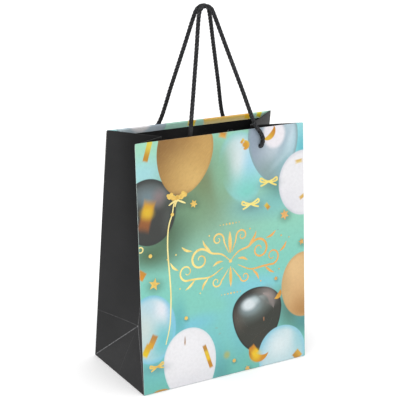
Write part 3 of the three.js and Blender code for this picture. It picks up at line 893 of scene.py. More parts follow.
def add_cord(end, left_leg, right_leg, towards):
    """A handle cord along its route, in place of the imported handle and its two cord ends."""
    route = smooth_route(handle_route(left_leg, right_leg, towards), ROPE_STEP)
    cord = make_rope(f"{end}_cord", route, CORD_RADIUS)
    joint = next(joint for joint in frame["joints"] if joint["name"] == f"{end}_handle_hinge")
    pivot = Vector(joint["pos_m"])
    axis = Vector(joint["axis"]).normalized()
    lift = Vector((0, towards, 1))
    lift = (lift - axis * lift.dot(axis)).normalized()
    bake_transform(cord)
    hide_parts(f"{end}_handle", f"{end}_cord_end_left", f"{end}_cord_end_right")


def knot_route(wall, x):
    """An overhand knot against the inside of the rim, and its tail hanging down."""
    size = 1.22
    middle = Vector((x, RIM_STACK + 4.9, HOLE_HEIGHT))
    loops = []
    count = 16
    for i in range(count + 1):
        t = -2.02 + 4.04 * i / count
        across = t**3 - 3 * t
        upright = t**4 - 4 * t**2 + 1.2
        depth = t**5 / 5 - 2 * t
        loops.append(middle + Vector((across, depth * 0.85, upright)) * size)
    start = Vector((x, RIM_STACK + 0.6, HOLE_HEIGHT))
    end = loops[-1]
    tail = [end + Vector((2.0, 0.6, -2.5)), end + Vector((1.6, 0.2, -7)), end + Vector((0.4, -0.6, -13))]
    return [wall @ point for point in (start, *loops, *tail)]


def add_knot(name, wall, x, node):
    route = smooth_route(knot_route(wall, x), ROPE_STEP)
    fasten(make_rope(name, route, CORD_RADIUS * 0.92), "black_cord", node)


def add_cords():
    add_cord("front", FRONT_LEFT_LEG, FRONT_RIGHT_LEG, -1)
    add_cord("rear", *REAR_LEGS, 1)
    add_knot("front_cord_knot", FRONT, HOLE_X, "front_knot_right")
    add_knot("rear_cord_knot_left", REAR, HOLE_X, "rear_knot_left")
    add_knot("rear_cord_knot_right", REAR, -HOLE_X, "rear_knot_right")


# ---- Camera, light and floor ----


def add_camera():
    """The viewing angle of the product picture: left of the front, and above the rim."""
    data = bpy.data.cameras.new("camera")
    data.sensor_width = 36
    data.lens = 108.12
    camera = new_object("camera", data)
    aim = Vector((-0.00527, 0, 0.15814))
    forward = Vector((0.50224, 0.80874, -0.30609)).normalized()
    roll = math.radians(1.554)
    level = forward.cross(Vector((0, 0, 1))).normalized()
    upright = level.cross(forward)
    right = level * math.cos(roll) + upright * math.sin(roll)
    up = upright * math.cos(roll) - level * math.sin(roll)
    distance = 1.1096
    turn = Matrix((right, up, -forward)).transposed()
    camera.matrix_world = Matrix.Translation(aim - forward * distance) @ turn.to_4x4()
    bpy.context.scene.camera = camera


def add_softbox(name, place, size, power):
    data = bpy.data.lights.new(name, "AREA")
    data.shape = "DISK"
    data.size = size
    data.energy = power
    light = new_object(name, data)
    light.location = place
    aim = Vector((0, 0, 0.12)) - light.location
    light.rotation_euler = aim.to_track_quat("-Z", "Y").to_euler()


def add_overhead_light():
    """A broad even light from above, which keeps the floor white out to its edges."""
    data = bpy.data.lights.new("overhead", "SUN")
    data.energy = 0.5
    data.angle = math.radians(70)
    light = new_object("overhead", data)
    light.rotation_euler = Vector((0.1, 0.28, -1)).to_track_quat("-Z", "Y").to_euler()


def add_floor():
    """A white floor just below the bag, wide enough to fill the picture."""
    reach = 6.0
    drop = -0.0003
    corners = [(x * reach, y * reach, drop) for x, y in ((-1, -1), (1, -1), (1, 1), (-1, 1))]
    mesh = bpy.data.meshes.new("floor")
    mesh.from_pydata(corners, [], [(0, 1, 2, 3)])
    pale, shade = material("floor", Roughness=0.9, Specular_IOR_Level=0.0, Emission_Strength=0.12)
    position = shade.node("ShaderNodeNewGeometry").outputs["Position"]
    cloud = shade.noise(position, 3.0, 2.0)
    mesh.materials.append(dressed(pale, shade, Base_Color=shade.ramp(cloud, 0.3, 0.7, "fbfbfb", "ffffff")))
    new_object("floor", mesh)


def add_studio():
    scene = bpy.context.scene
    scene.view_settings.view_transform = "Standard"
    world = bpy.data.worlds.new("studio")
    world.use_nodes = True
    background = world.node_tree.nodes["Background"].inputs
    background["Color"].default_value = (1, 1, 1, 1)
    background["Strength"].default_value = 1.0
    scene.world = world
    add_overhead_light()
    add_softbox("key", (0.5, -1.6, 0.9), 0.9, 0.8)
    add_floor()


# ---- The folded sheet ----

UP, FOLD, DOWN = "up", "fold", "down"
EDGE_STEPS = (0, 0.2, 0.45, 0.8, 1.3, 2.2, 4)
FIRST_STEP = 7
HOLE_CELLS = 6
FOLD_STEPS = 8
PRINTED, BLACKENED, INSIDE = 0, 1, 2


def steps(start, end, count):
    return [start + (end - start) * i / count for i in range(count)]


def shares_of(width, count):
    """Places across a width, as shares of it: close together near both edges."""
    near = [gap / width for gap in EDGE_STEPS]
    inset = FIRST_STEP / width
    return near + steps(inset, 1 - inset, count) + [1 - share for share in reversed(near)]


def wall_columns():
    """Places across a wall: close together at its edges, and even blocks round the holes."""
    low = HOLE_X - HOLE_BLOCK
    high = HOLE_X + HOLE_BLOCK
    right = steps(0, low, 9) + steps(low, high, HOLE_CELLS) + steps(high, HALF_WIDTH - 5, 10)
    right += [HALF_WIDTH - gap for gap in reversed(EDGE_STEPS)]
    return [-x for x in reversed(right[1:])] + right


def sheet_rows():
    """Places up the sheet: up the outside, round the rim, and down the inside of the hem."""
    low = HOLE_HEIGHT - HOLE_BLOCK
    high = HOLE_HEIGHT + HOLE_BLOCK
    block = [low + (high - low) * i / HOLE_CELLS for i in range(HOLE_CELLS + 1)]
    hem_line = PANEL_HEIGHT - PRINTED_HEM
    rising = [*EDGE_STEPS[:-1], *steps(EDGE_STEPS[-1], low, 46), *block, 220, hem_line, 225.5]
    falling = [225.5, hem_line, 220, *reversed(block), 204, PANEL_HEIGHT - HEM_DEPTH]
    rows = [(UP, up) for up in rising]
    rows += [(FOLD, math.pi * i / FOLD_STEPS) for i in range(FOLD_STEPS + 1)]
    return rows + [(DOWN, up) for up in falling]


FRONT_SEED = 1.3
REAR_SEED = 7.7
COLUMNS = wall_columns()
ROWS = sheet_rows()
# The turned-in hem draws back from the corner, and is thinner close to it.
CORNER_INSET = 2.6
INSET_REACH = 19
THIN_CORNER = 7


def swell(x, up, seed):
    """How far the panel stands out from flat: a slight belly, and the ripple of handled paper."""
    across = math.cos(math.pi * x / (2 * HALF_WIDTH))
    along = math.sin(math.pi * min(up, PANEL_HEIGHT) / PANEL_HEIGHT)
    ripple = noise.noise(Vector((x / 55, up / 55, seed)))
    return max(across, 0) * along * (0.9 + 0.6 * ripple)


def wall_point(x, zone, value, seed):
    """A point of the sheet's printed face, in the wall's frame."""
    stack = lerp(RIM_STACK, CORNER_STACK, smoothstep(HALF_WIDTH - THIN_CORNER, HALF_WIDTH, abs(x)))
    radius = stack / 2
    if zone == UP:
        inward, up, turned = 0, value, 0
    elif zone == FOLD:
        inward = radius * (1 - math.cos(value))
        up = PANEL_HEIGHT - radius + radius * math.sin(value)
        turned = value / math.pi
    else:
        inward, up, turned = stack, value, 1
    inset = CORNER_INSET * turned * smoothstep(HALF_WIDTH - INSET_REACH, HALF_WIDTH, abs(x))
    x -= math.copysign(inset, x)
    return Vector((x, inward - swell(x, up, seed), up))


def flat_height(zone, value, radius=RIM_STACK / 2):
    """How far along the flat sheet a row lies."""
    straight = PANEL_HEIGHT - radius
    if zone == UP:
        return value
    if zone == FOLD:
        return straight + radius * value
    return straight + math.pi * radius + straight - value


def never(*_):
    return False


def black_slot(*_):
    return BLACKENED


class Sheet:
    """The whole folded sheet as one welded net of points, to be cut into pieces at its creases."""

    def __init__(self):
        self.points = []
        self.soft = []
        self.found = {}
        self.faces = []

    def point(self, place, soft=False):
        key = tuple(round(value, 3) for value in place)
        if key not in self.found:
            self.found[key] = len(self.points)
            self.points.append(place.copy())
            self.soft.append(False)
        index = self.found[key]
        self.soft[index] = self.soft[index] or soft
        return index

    def face(self, piece, corners, flats, slot):
        kept = [k for k in range(len(corners)) if corners[k] != corners[k - 1]]
        if len(kept) >= 3:
            self.faces.append((piece, [corners[k] for k in kept], [flats[k] for k in kept], slot))

    def grid(self, piece, rows, flats, soft_of=never, slot_of=black_slot, skip=never):
        """Faces over a grid of places, given row by row."""
        net = []
        for i, row in enumerate(rows):
            net.append([self.point(place, soft_of(i, j)) for j, place in enumerate(row)])
        for i in range(len(net) - 1):
            for j in range(len(net[0]) - 1):
                if skip(i, j):
                    continue
                at = ((i, j), (i, j + 1), (i + 1, j + 1), (i + 1, j))
                self.face(piece, [net[a][b] for a, b in at], [flats[a][b] for a, b in at], slot_of(i, j))

    def round_creases(self, rounds=5):
        """Draws the points near a crease towards their neighbours, which rounds the fold."""
        near = [set() for _ in self.points]
        for _, corners, _, _ in self.faces:
            for a, b in zip(corners, corners[1:] + corners[:1]):
                near[a].add(b)
                near[b].add(a)
        for _ in range(rounds):
            moved = {}
            for index, soft in enumerate(self.soft):
                if soft and near[index]:
                    middle = sum((self.points[other] for other in near[index]), Vector()) / len(near[index])
                    moved[index] = self.points[index].lerp(middle, 0.5)
            for index, place in moved.items():
                self.points[index] = place

    def normals(self):
        result = [Vector() for _ in self.points]
        for _, corners, _, _ in self.faces:
            a, b, c = (self.points[k] for k in corners[:3])
            normal = (b - a).cross(c - a)
            if len(corners) == 4:
                d = self.points[corners[3]]
                normal += (c - a).cross(d - a)
            for index in corners:
                result[index] += normal
        return [normal.normalized() if normal.length > 0 else Vector((0, 0, 1)) for normal in result]

    def cut_out(self, piece, normals):
        """Points, faces, flat places and slots of one piece, as a closed solid of the sheet's thickness."""
        points, flats, faces, slots = [], [], [], []
        index = {}
        mine = [face for face in self.faces if face[0] == piece]
        for _, corners, places, _ in mine:
            for corner, place in zip(corners, places):
                if corner not in index:
                    index[corner] = len(index)
                    points.append(self.points[corner])
                    flats.append(place)
        count = len(points)
        for corner in list(index):
            points.append(self.points[corner] - normals[corner] * PAPER)
            flats.append(flats[index[corner]])
        edges = {}
        for _, corners, _, slot in mine:
            outer = [index[corner] for corner in corners]
            faces.append(tuple(outer))
            slots.append(slot)
            faces.append(tuple(count + k for k in reversed(outer)))
            slots.append(INSIDE)
            for a, b in zip(outer, outer[1:] + outer[:1]):
                edges[(a, b)] = slot
        for (a, b), slot in edges.items():
            if (b, a) not in edges:
                faces.append((b, a, count + a, count + b))
                slots.append(slot)
        return points, faces, flats, slots


SHEET_MATERIALS = [PRINT, BLACK, RAW]
SOFT_REACH = 0.5
sheet = Sheet()


def ring_places(row, column):
    """The edge points of a hole's block of cells, in order, as steps of row and column."""
    cells = HOLE_CELLS
    loop = [(0, j) for j in range(cells)]
    loop += [(i, cells) for i in range(cells)]
    loop += [(cells, cells - j) for j in range(cells)]
    loop += [(cells - i, 0) for i in range(cells)]
    return [(row + i, column + j) for i, j in loop]


def add_hole(piece, wall, seed, zone, x, first_row, first_column, slot):
    """Replaces a block of cells by rings that close in on a round hole.

    The first ring has exactly the grid's own places, so that its points are the grid's points.
    """
    loop = ring_places(first_row, first_column)
    rings = []
    for share in (0, 0.5, 1):
        ring = []
        for i, j in loop:
            edge_x, edge_up = COLUMNS[j], ROWS[i][1]
            away = Vector((edge_x - x, edge_up - HOLE_HEIGHT))
            place = away.lerp(away.normalized() * HOLE_RADIUS, share)
            new_x, new_up = (edge_x, edge_up) if share == 0 else (x + place.x, HOLE_HEIGHT + place.y)
            flat = (new_x + HALF_WIDTH, flat_height(zone, new_up), 0)
            ring.append((sheet.point(wall @ wall_point(new_x, zone, new_up, seed)), flat))
        rings.append(ring)
    count = len(loop)
    for outer, inner in zip(rings, rings[1:]):
        for k in range(count):
            quad = [outer[k], outer[(k + 1) % count], inner[(k + 1) % count], inner[k]]
            sheet.face(piece, [index for index, _ in quad], [flat for _, flat in quad], slot)


def row_at(zone, up):
    """The row of the sheet that lies at a height, on its way up or down."""
    return next(i for i, (kind, value) in enumerate(ROWS) if kind == zone and abs(value - up) < 0.01)


def add_wall(piece, wall, holes, seed):
    """A front or rear wall with its rolled rim, its hem and its cord holes."""
    places = [[wall @ wall_point(x, zone, value, seed) for x in COLUMNS] for zone, value in ROWS]
    flats = [[(x + HALF_WIDTH, flat_height(zone, value), 0) for x in COLUMNS] for zone, value in ROWS]
    blocks = []
    for x in holes:
        column = min(range(len(COLUMNS)), key=lambda j: abs(COLUMNS[j] - (x - HOLE_BLOCK)))
        for zone, edge in ((UP, HOLE_HEIGHT - HOLE_BLOCK), (DOWN, HOLE_HEIGHT + HOLE_BLOCK)):
            blocks.append((x, zone, row_at(zone, edge), column))

    def in_block(i, j):
        cells = range(HOLE_CELLS)
        return any(i - row in cells and j - column in cells for _, _, row, column in blocks)

    def slot_of(i, _):
        zone, value = ROWS[i]
        return BLACKENED if zone == DOWN and value <= PANEL_HEIGHT - PRINTED_HEM + 0.01 else PRINTED

    def soft_of(i, j):
        side = HALF_WIDTH - abs(COLUMNS[j]) < SOFT_REACH
        return side or (ROWS[i][0] == UP and ROWS[i][1] < SOFT_REACH)

    sheet.grid(piece, places, flats, soft_of, slot_of, in_block)
    for x, zone, row, column in blocks:
        add_hole(piece, wall, seed, zone, x, row, column, PRINTED if zone == UP else BLACKENED)


def corner(low, side, half):
    """A corner of the wall's edge, or of the gusset's crease, for one side and half of the bag."""
    return Vector((low.x * side, low.y * half, low.z))


GUSSET_BELLY = 1.3
FOOT_BELLY = 0.8
CORNER_LOW = Vector((HALF_WIDTH, HALF_DEPTH, 0))
CORNER_HIGH = Vector((HALF_WIDTH, MOUTH_DEPTH / 2, RIM_Z))
CREASE_LOW = Vector((HALF_WIDTH - FOOT_TUCK, 0, FOOT_Z))
CREASE_HIGH = Vector((HALF_WIDTH - MOUTH_TUCK, 0, RIM_Z - MOUTH_DROP))
ACROSS = shares_of(HALF_DEPTH, 9)
FOOT_COLUMNS = shares_of(2 * HALF_DEPTH, 20)


def gusset_places(side, half, wall, seed):
    """Rows of places over one half of a gusset, from the wall's edge to the centre crease."""
    low_edge, high_edge, low_crease, high_crease = (
        corner(place, side, half) for place in (CORNER_LOW, CORNER_HIGH, CREASE_LOW, CREASE_HIGH))
    radius = GUSSET_STACK / 2
    wall_side = side if half < 0 else -side

    def place(across, zone, value):
        if across == 0:
            return wall @ wall_point(wall_side * HALF_WIDTH, zone, value, seed)
        turned = {UP: 0, FOLD: value / math.pi, DOWN: 1}[zone]
        inset = CORNER_INSET / HALF_DEPTH * turned * (1 - smoothstep(0, 12 / HALF_DEPTH, across))
        across = across + inset
        low = low_edge.lerp(low_crease, across)
        high = high_edge.lerp(high_crease, across)
        up_way = (high - low).normalized()
        share = value / PANEL_HEIGHT if zone != FOLD else 1 - radius / PANEL_HEIGHT
        edge = low_edge.lerp(high_edge, share)
        crease = low_crease.lerp(high_crease, share)
        inward = (crease - edge).cross(up_way).normalized()
        if inward.x * side > 0:
            inward = -inward
        if across > 1 - 0.001:
            inward = Vector((inward.x, 0, inward.z)) / (1 - inward.y**2)
        point = low.lerp(high, share)
        belly = math.sin(math.pi * across) * math.sin(math.pi * share) * GUSSET_BELLY
        ripple = noise.noise(Vector((across * 1.5 + seed, share * 4, half * 3 + side)))
        point -= inward * belly * (0.7 + 0.6 * ripple)
        if zone == FOLD:
            point += inward * radius * (1 - math.cos(value)) + up_way * radius * math.sin(value)
        elif zone == DOWN:
            point += inward * GUSSET_STACK
        return point

    return [[place(across, zone, value) for across in ACROSS] for zone, value in ROWS]


def add_gusset(name, side):
    """A side gusset: two halves that meet at the centre crease, and the foot triangle below them."""
    for half, wall, seed in ((-1, FRONT, FRONT_SEED), (1, REAR, REAR_SEED)):
        rows = gusset_places(side, half, wall, seed)
        start = 0 if half < 0 else 2 * HALF_DEPTH
        flats = []
        for zone, value in ROWS:
            height = flat_height(zone, value, GUSSET_STACK / 2)
            row = []
            for across in ACROSS:
                rise = HALF_DEPTH * across
                up = rise + height * (PANEL_HEIGHT - rise) / PANEL_HEIGHT
                row.append((start - half * rise, up, 0))
            flats.append(row)
        forward = side * half < 0
        rows, flats = ([row if forward else row[::-1] for row in grid] for grid in (rows, flats))
        columns = ACROSS if forward else ACROSS[::-1]

        def soft_of(i, j, columns=columns):
            near_side = min(columns[j], 1 - columns[j]) * HALF_DEPTH < SOFT_REACH
            return near_side or (ROWS[i][0] == UP and ROWS[i][1] < SOFT_REACH)

        sheet.grid(name, rows, flats, soft_of)
    add_foot(name, side)


def foot_edge(side, half, across):
    return corner(CORNER_LOW, side, half).lerp(corner(CREASE_LOW, side, half), across)


def add_foot(name, side):
    rows, flats = [], []
    for across in ACROSS:
        front = foot_edge(side, -1, across)
        rear = foot_edge(side, 1, across)
        row = []
        for share in FOOT_COLUMNS:
            place = front.lerp(rear, share)
            push = math.sin(math.pi * share) * math.sin(math.pi * across) * FOOT_BELLY
            row.append(place + Vector((side * push, 0, 0)))
        rows.append(row)
        start = HALF_DEPTH * across
        flats.append([(start + (2 * HALF_DEPTH - 2 * start) * share, start, 0) for share in FOOT_COLUMNS])
    if side < 0:
        rows, flats = ([row[::-1] for row in grid] for grid in (rows, flats))

    def soft_of(i, j):
        width = 2 * HALF_DEPTH * (1 - ACROSS[i])
        share = FOOT_COLUMNS[j]
        near_edge = min(share, 1 - share) * width < SOFT_REACH
        return near_edge or ACROSS[i] * HALF_DEPTH < SOFT_REACH or width < 2 * SOFT_REACH

    sheet.grid(name, rows, flats, soft_of)


FLAP_TIP_X = 39.4
FLAP_STEP = 39
FLAP_OVERLAP = 8
SECOND_LAYER = 0.8
FLAP_INNER_X = 40
# Where hidden paper lies on the flat sheet: far from the creases that the material draws.
HIDDEN_PRINT = 300


def add_flap(name, distances, row_of, flat_of):
    """A bottom flap, given by its rows of places from its tip back to the edge of its wall."""
    order = list(reversed(distances))
    rows = [row_of(distance) for distance in order]
    flats = [flat_of(distance) for distance in order]
    sheet.grid(name, rows, flats, lambda i, j: order[i] < SOFT_REACH)


def add_main_flap(name, turn, raised):
    """A bottom flap folded in from the front or rear wall. The rear one steps up over the front one."""
    tip = HALF_DEPTH + FLAP_OVERLAP
    distances = [*EDGE_STEPS, *steps(8, 38, 8), 38, FLAP_STEP, 40, 41, *steps(43, tip, 4), tip]
    narrowing = (HALF_WIDTH - FLAP_TIP_X) / FLAP_STEP

    def row_of(distance):
        share = 1 - min(distance, FLAP_STEP) * narrowing / HALF_WIDTH
        level = SECOND_LAYER * smoothstep(FLAP_STEP, 41, distance) if raised else 0
        return [turn @ Vector((x * share, distance - HALF_DEPTH, level)) for x in COLUMNS]

    def flat_of(distance):
        return [(x + HALF_WIDTH + HIDDEN_PRINT, -distance, 0) for x in COLUMNS]

    add_flap(name, distances, row_of, flat_of)


def add_side_flap(name, side):
    """A bottom flap folded in from a gusset, above the two main flaps."""
    reach = HALF_WIDTH - FLAP_INNER_X
    shares = FOOT_COLUMNS if side > 0 else FOOT_COLUMNS[::-1]

    def row_of(distance):
        half = HALF_DEPTH - 1.6 * smoothstep(0, 2, distance) - max(distance - (reach - 14), 0)
        level = SECOND_LAYER * smoothstep(0, 2.4, distance)
        return [Vector((side * (HALF_WIDTH - distance), (2 * share - 1) * half, level)) for share in shares]

    def flat_of(distance):
        return [(share * 2 * HALF_DEPTH + HIDDEN_PRINT, -distance, 0) for share in shares]

    add_flap(name, [*EDGE_STEPS, *steps(8, reach, 10), reach], row_of, flat_of)


SHEET_PIECES = {
    "front_wall": ("printed_paper", "front_panel"),
    "rear_wall": ("printed_paper", "rear_panel"),
    "left_side": ("black_paper", "left_gusset_front", "left_gusset_rear", "left_foot"),
    "right_side": ("black_paper", "right_gusset_front", "right_gusset_rear", "right_foot"),
    "base_flap_front": ("black_paper", "bottom_flap_front"),
    "base_flap_rear": ("black_paper", "bottom_flap_rear"),
    "base_flap_left": ("black_paper", "bottom_flap_left"),
    "base_flap_right": ("black_paper", "bottom_flap_right"),
}


def add_sheet():
    """Folds the sheet, rounds its creases, and cuts it into pieces."""
    add_wall("front_wall", FRONT, (HOLE_X,), FRONT_SEED)
    add_wall("rear_wall", REAR, (-HOLE_X, HOLE_X), REAR_SEED)
    add_gusset("left_side", -1)
    add_gusset("right_side", 1)
    add_main_flap("base_flap_front", Matrix.Identity(4), False)
    add_main_flap("base_flap_rear", Matrix.Rotation(math.pi, 4, "Z"), True)
    add_side_flap("base_flap_left", -1)
    add_side_flap("base_flap_right", 1)
    sheet.round_creases()
    normals = sheet.normals()
    for name, (slot, *nodes) in SHEET_PIECES.items():
        points, faces, flats, slots = sheet.cut_out(name, normals)
        fasten(make_piece(name, points, faces, SHEET_MATERIALS, flats, slots), slot, *nodes)


# ---- Loose card and strips ----


def thin_sheet(name, rows, flats, thickness, tint, slot, node):
    """A closed thin solid below a grid of places, riding on the bag."""
    own = Sheet()
    own.grid(name, rows, flats)
    points, faces, places, _ = own.cut_out(name, own.normals())
    count = len(points) // 2
    for k in range(count):
        points[count + k] = points[k] - (points[k] - points[count + k]).normalized() * thickness
    fasten(make_piece(name, points, faces, [tint], places), slot, node)


def add_base_card():
    """The loose greyboard that lies on the folded flaps, slightly curled."""
    low, high = (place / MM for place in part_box("base_board"))
    rows, flats = [], []
    count = 24
    for i in range(count + 1):
        y = lerp(low.y, high.y, i / count)
        row = []
        for j in range(2 * count + 1):
            x = lerp(low.x, high.x, j / (2 * count))
            corner_cut = smoothstep(0.985, 1.0, abs(x) / high.x) * smoothstep(0.97, 1.0, abs(y) / high.y)
            curl = 0.35 * (x / high.x) ** 2 + 0.12 * noise.noise(Vector((x / 30, y / 30, 2)))
            row.append(Vector((x * (1 - 0.006 * corner_cut), y * (1 - 0.01 * corner_cut), high.z + curl)))
        rows.append(row)
        flats.append([(place.x, place.y, 0) for place in row])
    thin_sheet("base_card", rows, flats, high.z - low.z, BOARD, "greyboard", "base_board")


def add_seam_strip():
    """The glued strip of the sheet that closes the tube, inside one rear corner."""
    columns = [72.5, 73, *range(75, 84, 2), 84.6]
    foot, top = 6, 196
    heights = [*steps(foot, top, 40), top]
    rows, flats = [], []
    for up in reversed(heights):
        row = []
        for x in columns:
            inward = PAPER + 0.42 + 0.12 * noise.noise(Vector((x / 9, up / 20, 4)))
            row.append(REAR @ Vector((x, inward - swell(x, up, REAR_SEED), up)))
        rows.append(row)
        flats.append([(x, up, 0) for x in columns])
    thin_sheet("seam_strip", rows, flats, 0.3, RAW, "black_paper", "side_seam_flap")


def add_patch():
    """The strip of paper glued over the inside end of the front cord."""
    wing = 14
    low = INSIDE_END_HEIGHT - 3
    high = INSIDE_END_HEIGHT + 16
    down, across_count = 12, 56
    rows, flats = [], []
    for i in range(down + 1):
        share = i / down
        up = lerp(high, low, share)
        middle = inside_cord(up).x
        press = 0.105 * smoothstep(0.85, 1, abs(2 * share - 1))
        row = []
        for j in range(across_count + 1):
            across = lerp(-wing, wing, j / across_count)
            hump = 4.4 * (1 - smoothstep(1.3, 5.6, abs(across)))
            hump *= 1 - 0.12 * (1 - smoothstep(0, 0.5, share))
            ripple = 0.08 * noise.noise(Vector((across / 4, up / 5, 1)))
            row.append(FRONT @ Vector((middle + across, RIM_STACK + 0.55 + hump + ripple - press, up)))
        rows.append(row)
        flats.append([(j / 2 + HIDDEN_PRINT, up - 400, 0) for j in range(across_count + 1)])
    thin_sheet("cord_patch", rows, flats, 0.3, BLACK, "black_paper", "front_cord_patch")


# ---- Gold foil ----

FOIL_SUNK = 0.06
FOIL_HEIGHT = 0.1
FOIL_MARGIN = 0.5
STROKE_SECTION = ((-1, -FOIL_SUNK), (-0.7, FOIL_HEIGHT), (0, FOIL_HEIGHT * 1.15), (0.7, FOIL_HEIGHT),
                  (1, -FOIL_SUNK))


class Foil:
    """Raised gold shapes laid on one wall, gathered into one mesh."""

    def __init__(self, wall, seed):
        self.wall = wall
        self.seed = seed
        self.points, self.faces, self.flats = [], [], []

    def place(self, across, up, lift):
        """A point of the foil, which stops short of the panel's edges."""
        across = min(max(across, FOIL_MARGIN), 2 * HALF_WIDTH - FOIL_MARGIN)
        up = max(up, FOIL_MARGIN)
        x = across - HALF_WIDTH
        local = Vector((x, -swell(x, up, self.seed) - lift, up))
        self.points.append(self.wall @ local)
        self.flats.append((across, up, lift))
        return len(self.points) - 1

    def stroke(self, route, width, ends, step=0.7):
        """A line of foil, full width in its middle and drawn out to a share of it at its ends."""
        line = smooth_route([Vector((a, b, 0)) for a, b in route], step)
        rings = []
        for i, place in enumerate(line):
            ahead = step_at(line, i)
            side = Vector((-ahead.y, ahead.x)).normalized()
            share = i / (len(line) - 1)
            end = ends[0] if share < 0.5 else ends[1]
            half = width / 2 * lerp(end, 1, math.sin(math.pi * share) ** 0.8)
            ring = []
            for share_out, lift in STROKE_SECTION:
                off = half * share_out
                ring.append(self.place(place.x + side.x * off, place.y + side.y * off, lift))
            rings.append(ring)
        for ring, following in zip(rings, rings[1:]):
            for k in range(len(ring)):
                self.faces.append((ring[k - 1], following[k - 1], following[k], ring[k]))
        self.faces.append(tuple(rings[0]))
        self.faces.append(tuple(reversed(rings[-1])))

    def disc(self, outline, centre, height, rim_height):
        """A domed or faceted shape inside a closed outline."""
        top = self.place(*centre, height)
        under = self.place(*centre, -FOIL_SUNK)
        rim = [self.place(across, up, rim_height) for across, up in outline]
        foot = [self.place(across, up, -FOIL_SUNK) for across, up in outline]
        for k in range(len(outline)):
            other = (k + 1) % len(outline)
            self.faces.append((top, rim[k], rim[other]))
            self.faces.append((rim[k], foot[k], foot[other], rim[other]))
            self.faces.append((under, foot[other], foot[k]))

    def star(self, across, up, size, arms, tilt):
        outline = []
        for k in range(2 * arms):
            angle = tilt + math.pi / 2 + math.pi * k / arms
            reach = size if k % 2 == 0 else size * (0.43 if arms == 5 else 0.52)
            outline.append((across + reach * math.cos(angle), up + reach * math.sin(angle)))
        self.disc(outline, (across, up), size * 0.14, 0.1)

    def bead(self, across, up, size):
        sides = 14
        angles = [2 * math.pi * k / sides for k in range(sides)]
        outline = [(across + size * math.cos(angle), up + size * math.sin(angle)) for angle in angles]
        self.disc(outline, (across, up), size * 0.28, 0.12)

    def bow(self, across, up, size, tilt, width):
        """A tied ribbon: two loops, two tails and the knot between them."""

        def turned(points):
            return [(across + size * (a * math.cos(tilt) - b * math.sin(tilt)),
                     up + size * (a * math.sin(tilt) + b * math.cos(tilt))) for a, b in points]

        for side in (-1, 1):
            self.stroke(turned([(0, 0), (side * 0.5, 0.16), (side * 0.92, 0.36), (side * 0.98, 0.12),
                                (side * 0.55, -0.04), (0, 0)]), width, (0.7, 0.7))
            self.stroke(turned([(side * -0.06, 0.02), (side * 0.3, -0.16), (side * 0.62, -0.3),
                                (side * 0.94, -0.4)]), width, (0.6, 0.8))
        self.bead(across, up, size * 0.13)

    def finish(self, name, tint):
        fasten(make_piece(name, self.points, self.faces, [tint], self.flats, sharp=38), "gold_foil")


def spiral(centre, radius, start, turns, tighten=0.18):
    """Points winding inwards round a centre. Positive turns run anticlockwise."""
    count = max(8, int(abs(turns) * 12))
    points = []
    for i in range(count + 1):
        share = i / count
        angle = start + 2 * math.pi * turns * share
        reach = radius * lerp(1, tighten, share)
        points.append((centre[0] + reach * math.cos(angle), centre[1] + reach * math.sin(angle)))
    return points


# Stem, curl (centre, radius, start, turns) and line width, on the right half of the ornament.
SCROLLS = (
    (((0, -2), (9, 5.5), (20, 8.5)), ((32, 4), 10.5, math.pi * 0.72, -1.35), 2.5),
    (((8, -7), (22, -13.5), (36, -13)), ((46.5, -5), 8.4, -math.pi * 0.62, 1.2), 2.1),
    (((1.5, 6), (6, 16)), ((13, 20), 6, math.pi * 0.9, -1.15), 1.9),
    (((2, -9), (8, -17)), ((15.5, -19.5), 5.4, math.pi, 1.15), 1.7),
)
LEAVES = (
    ((20, 9), (27, 17), (29, 22)), ((40, 13.4), (46, 15), (51, 19)), ((24, -14.4), (29, -20), (31, -25)),
    ((38, -13.4), (44, -19), (48.5, -21.5)), ((55, -2), (60, 1.5), (63, 6.5)),
    ((8, -1), (14, -1.5), (19, -4.4)),
)
DOTS = ((22, 25, 0.8), (33, -27, 0.7), (57, 13, 0.8), (54, -19, 0.7), (66, 10, 0.6))


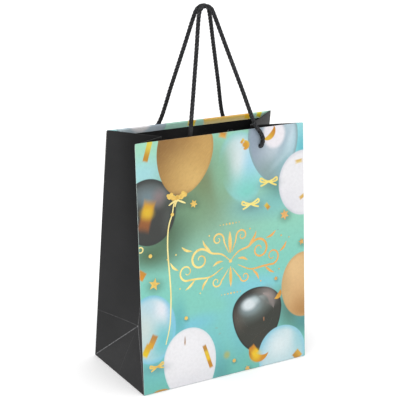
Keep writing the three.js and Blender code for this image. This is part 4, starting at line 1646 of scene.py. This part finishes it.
def scroll_ornament(foil):
    """A symmetrical scroll with leaves and dots in the middle of the panel."""
    middle, base = 94, 112

    def placed(points, side=1):
        return [(middle + side * a, base + b) for a, b in points]

    for side in (-1, 1):
        for stem, curl, width in SCROLLS:
            foil.stroke(placed([*stem, *spiral(*curl)], side), width, (0.3, 0.35))
        for leaf in LEAVES:
            foil.stroke(placed(leaf, side), 2.6, (0.08, 0.05))
        for a, b, size in DOTS:
            foil.bead(middle + side * a, base + b, size)
    foil.stroke(placed(((0, 5), (0, 14), (0, 26))), 4.2, (0.05, 0.04))
    foil.stroke(placed(((0, -7), (0, -16), (0, -27))), 3.6, (0.05, 0.04))
    foil.bead(middle, base - 2.2, 1.7)
    for row in (33, -33):
        for k in range(-3, 4):
            foil.bead(middle + k * 3.4, base + row, 0.95 - 0.16 * abs(k))


def hanging_things(foil):
    """The big balloon's string with the bow round its neck, the two ribbon bows, and a curl at the edge."""
    foil.stroke(STRING_ROUTE, 1.6, (0.8, 0.6), step=1.2)
    neck = (40.2, 174.6)
    for bend, end in (((36, 173.2), (31.4, 170.6)), ((44.4, 172.6), (48.6, 170.6)),
                      ((38.4, 171.6), (37.6, 168.6))):
        foil.stroke((neck, bend, end), 1.9, (0.7, 0.5))
    foil.bead(40.3, 174.8, 1.7)
    foil.bow(117.3, 160, 9.4, 0.02, 2.0)
    foil.bow(137.7, 178.3, 9.6, -0.06, 2.0)
    foil.stroke(spiral((1.8, 135), 2.6, -2.6, 0.8, 0.9), 1.4, (0.8, 0.8))


# The gathered lip of the big balloon, below its neck.
NECK_CUFF = ((32.6, 178.4, 2.5), (36.2, 177, 2.5), (40.3, 176.4, 2.6), (44.4, 177, 2.5), (48, 178.6, 2.4),
             (34.4, 180, 1.9), (46.2, 180.2, 1.9), (31, 179.6, 1.5))


def charms(foil):
    for star in STAR_PLACES:
        foil.star(*star)
    for bead in BEAD_PLACES:
        foil.bead(*bead)
    foil.bow(14.2, 24.6, 7, 0.12, 1.8)
    for bead in NECK_CUFF:
        foil.bead(*bead)


def add_foil():
    drawings = (("ornament", scroll_ornament, SCROLL_FOIL), ("string", hanging_things, PALE_FOIL),
                ("charms", charms, GOLD_FOIL))
    for side, wall, seed in (("front", FRONT, FRONT_SEED), ("rear", REAR, REAR_SEED)):
        for name, draw, tint in drawings:
            foil = Foil(wall, seed)
            draw(foil)
            foil.finish(f"{side}_{name}", tint)


# ---- Assembly ----

add_camera()
add_cords()
add_studio()
add_sheet()
add_base_card()
add_seam_strip()
add_patch()
add_foil()
for card in ("front_rim_card", "rear_rim_card"):
    card_mesh = frame["nodes"][card].data
    card_mesh.materials.clear()
    card_mesh.materials.append(BOARD)
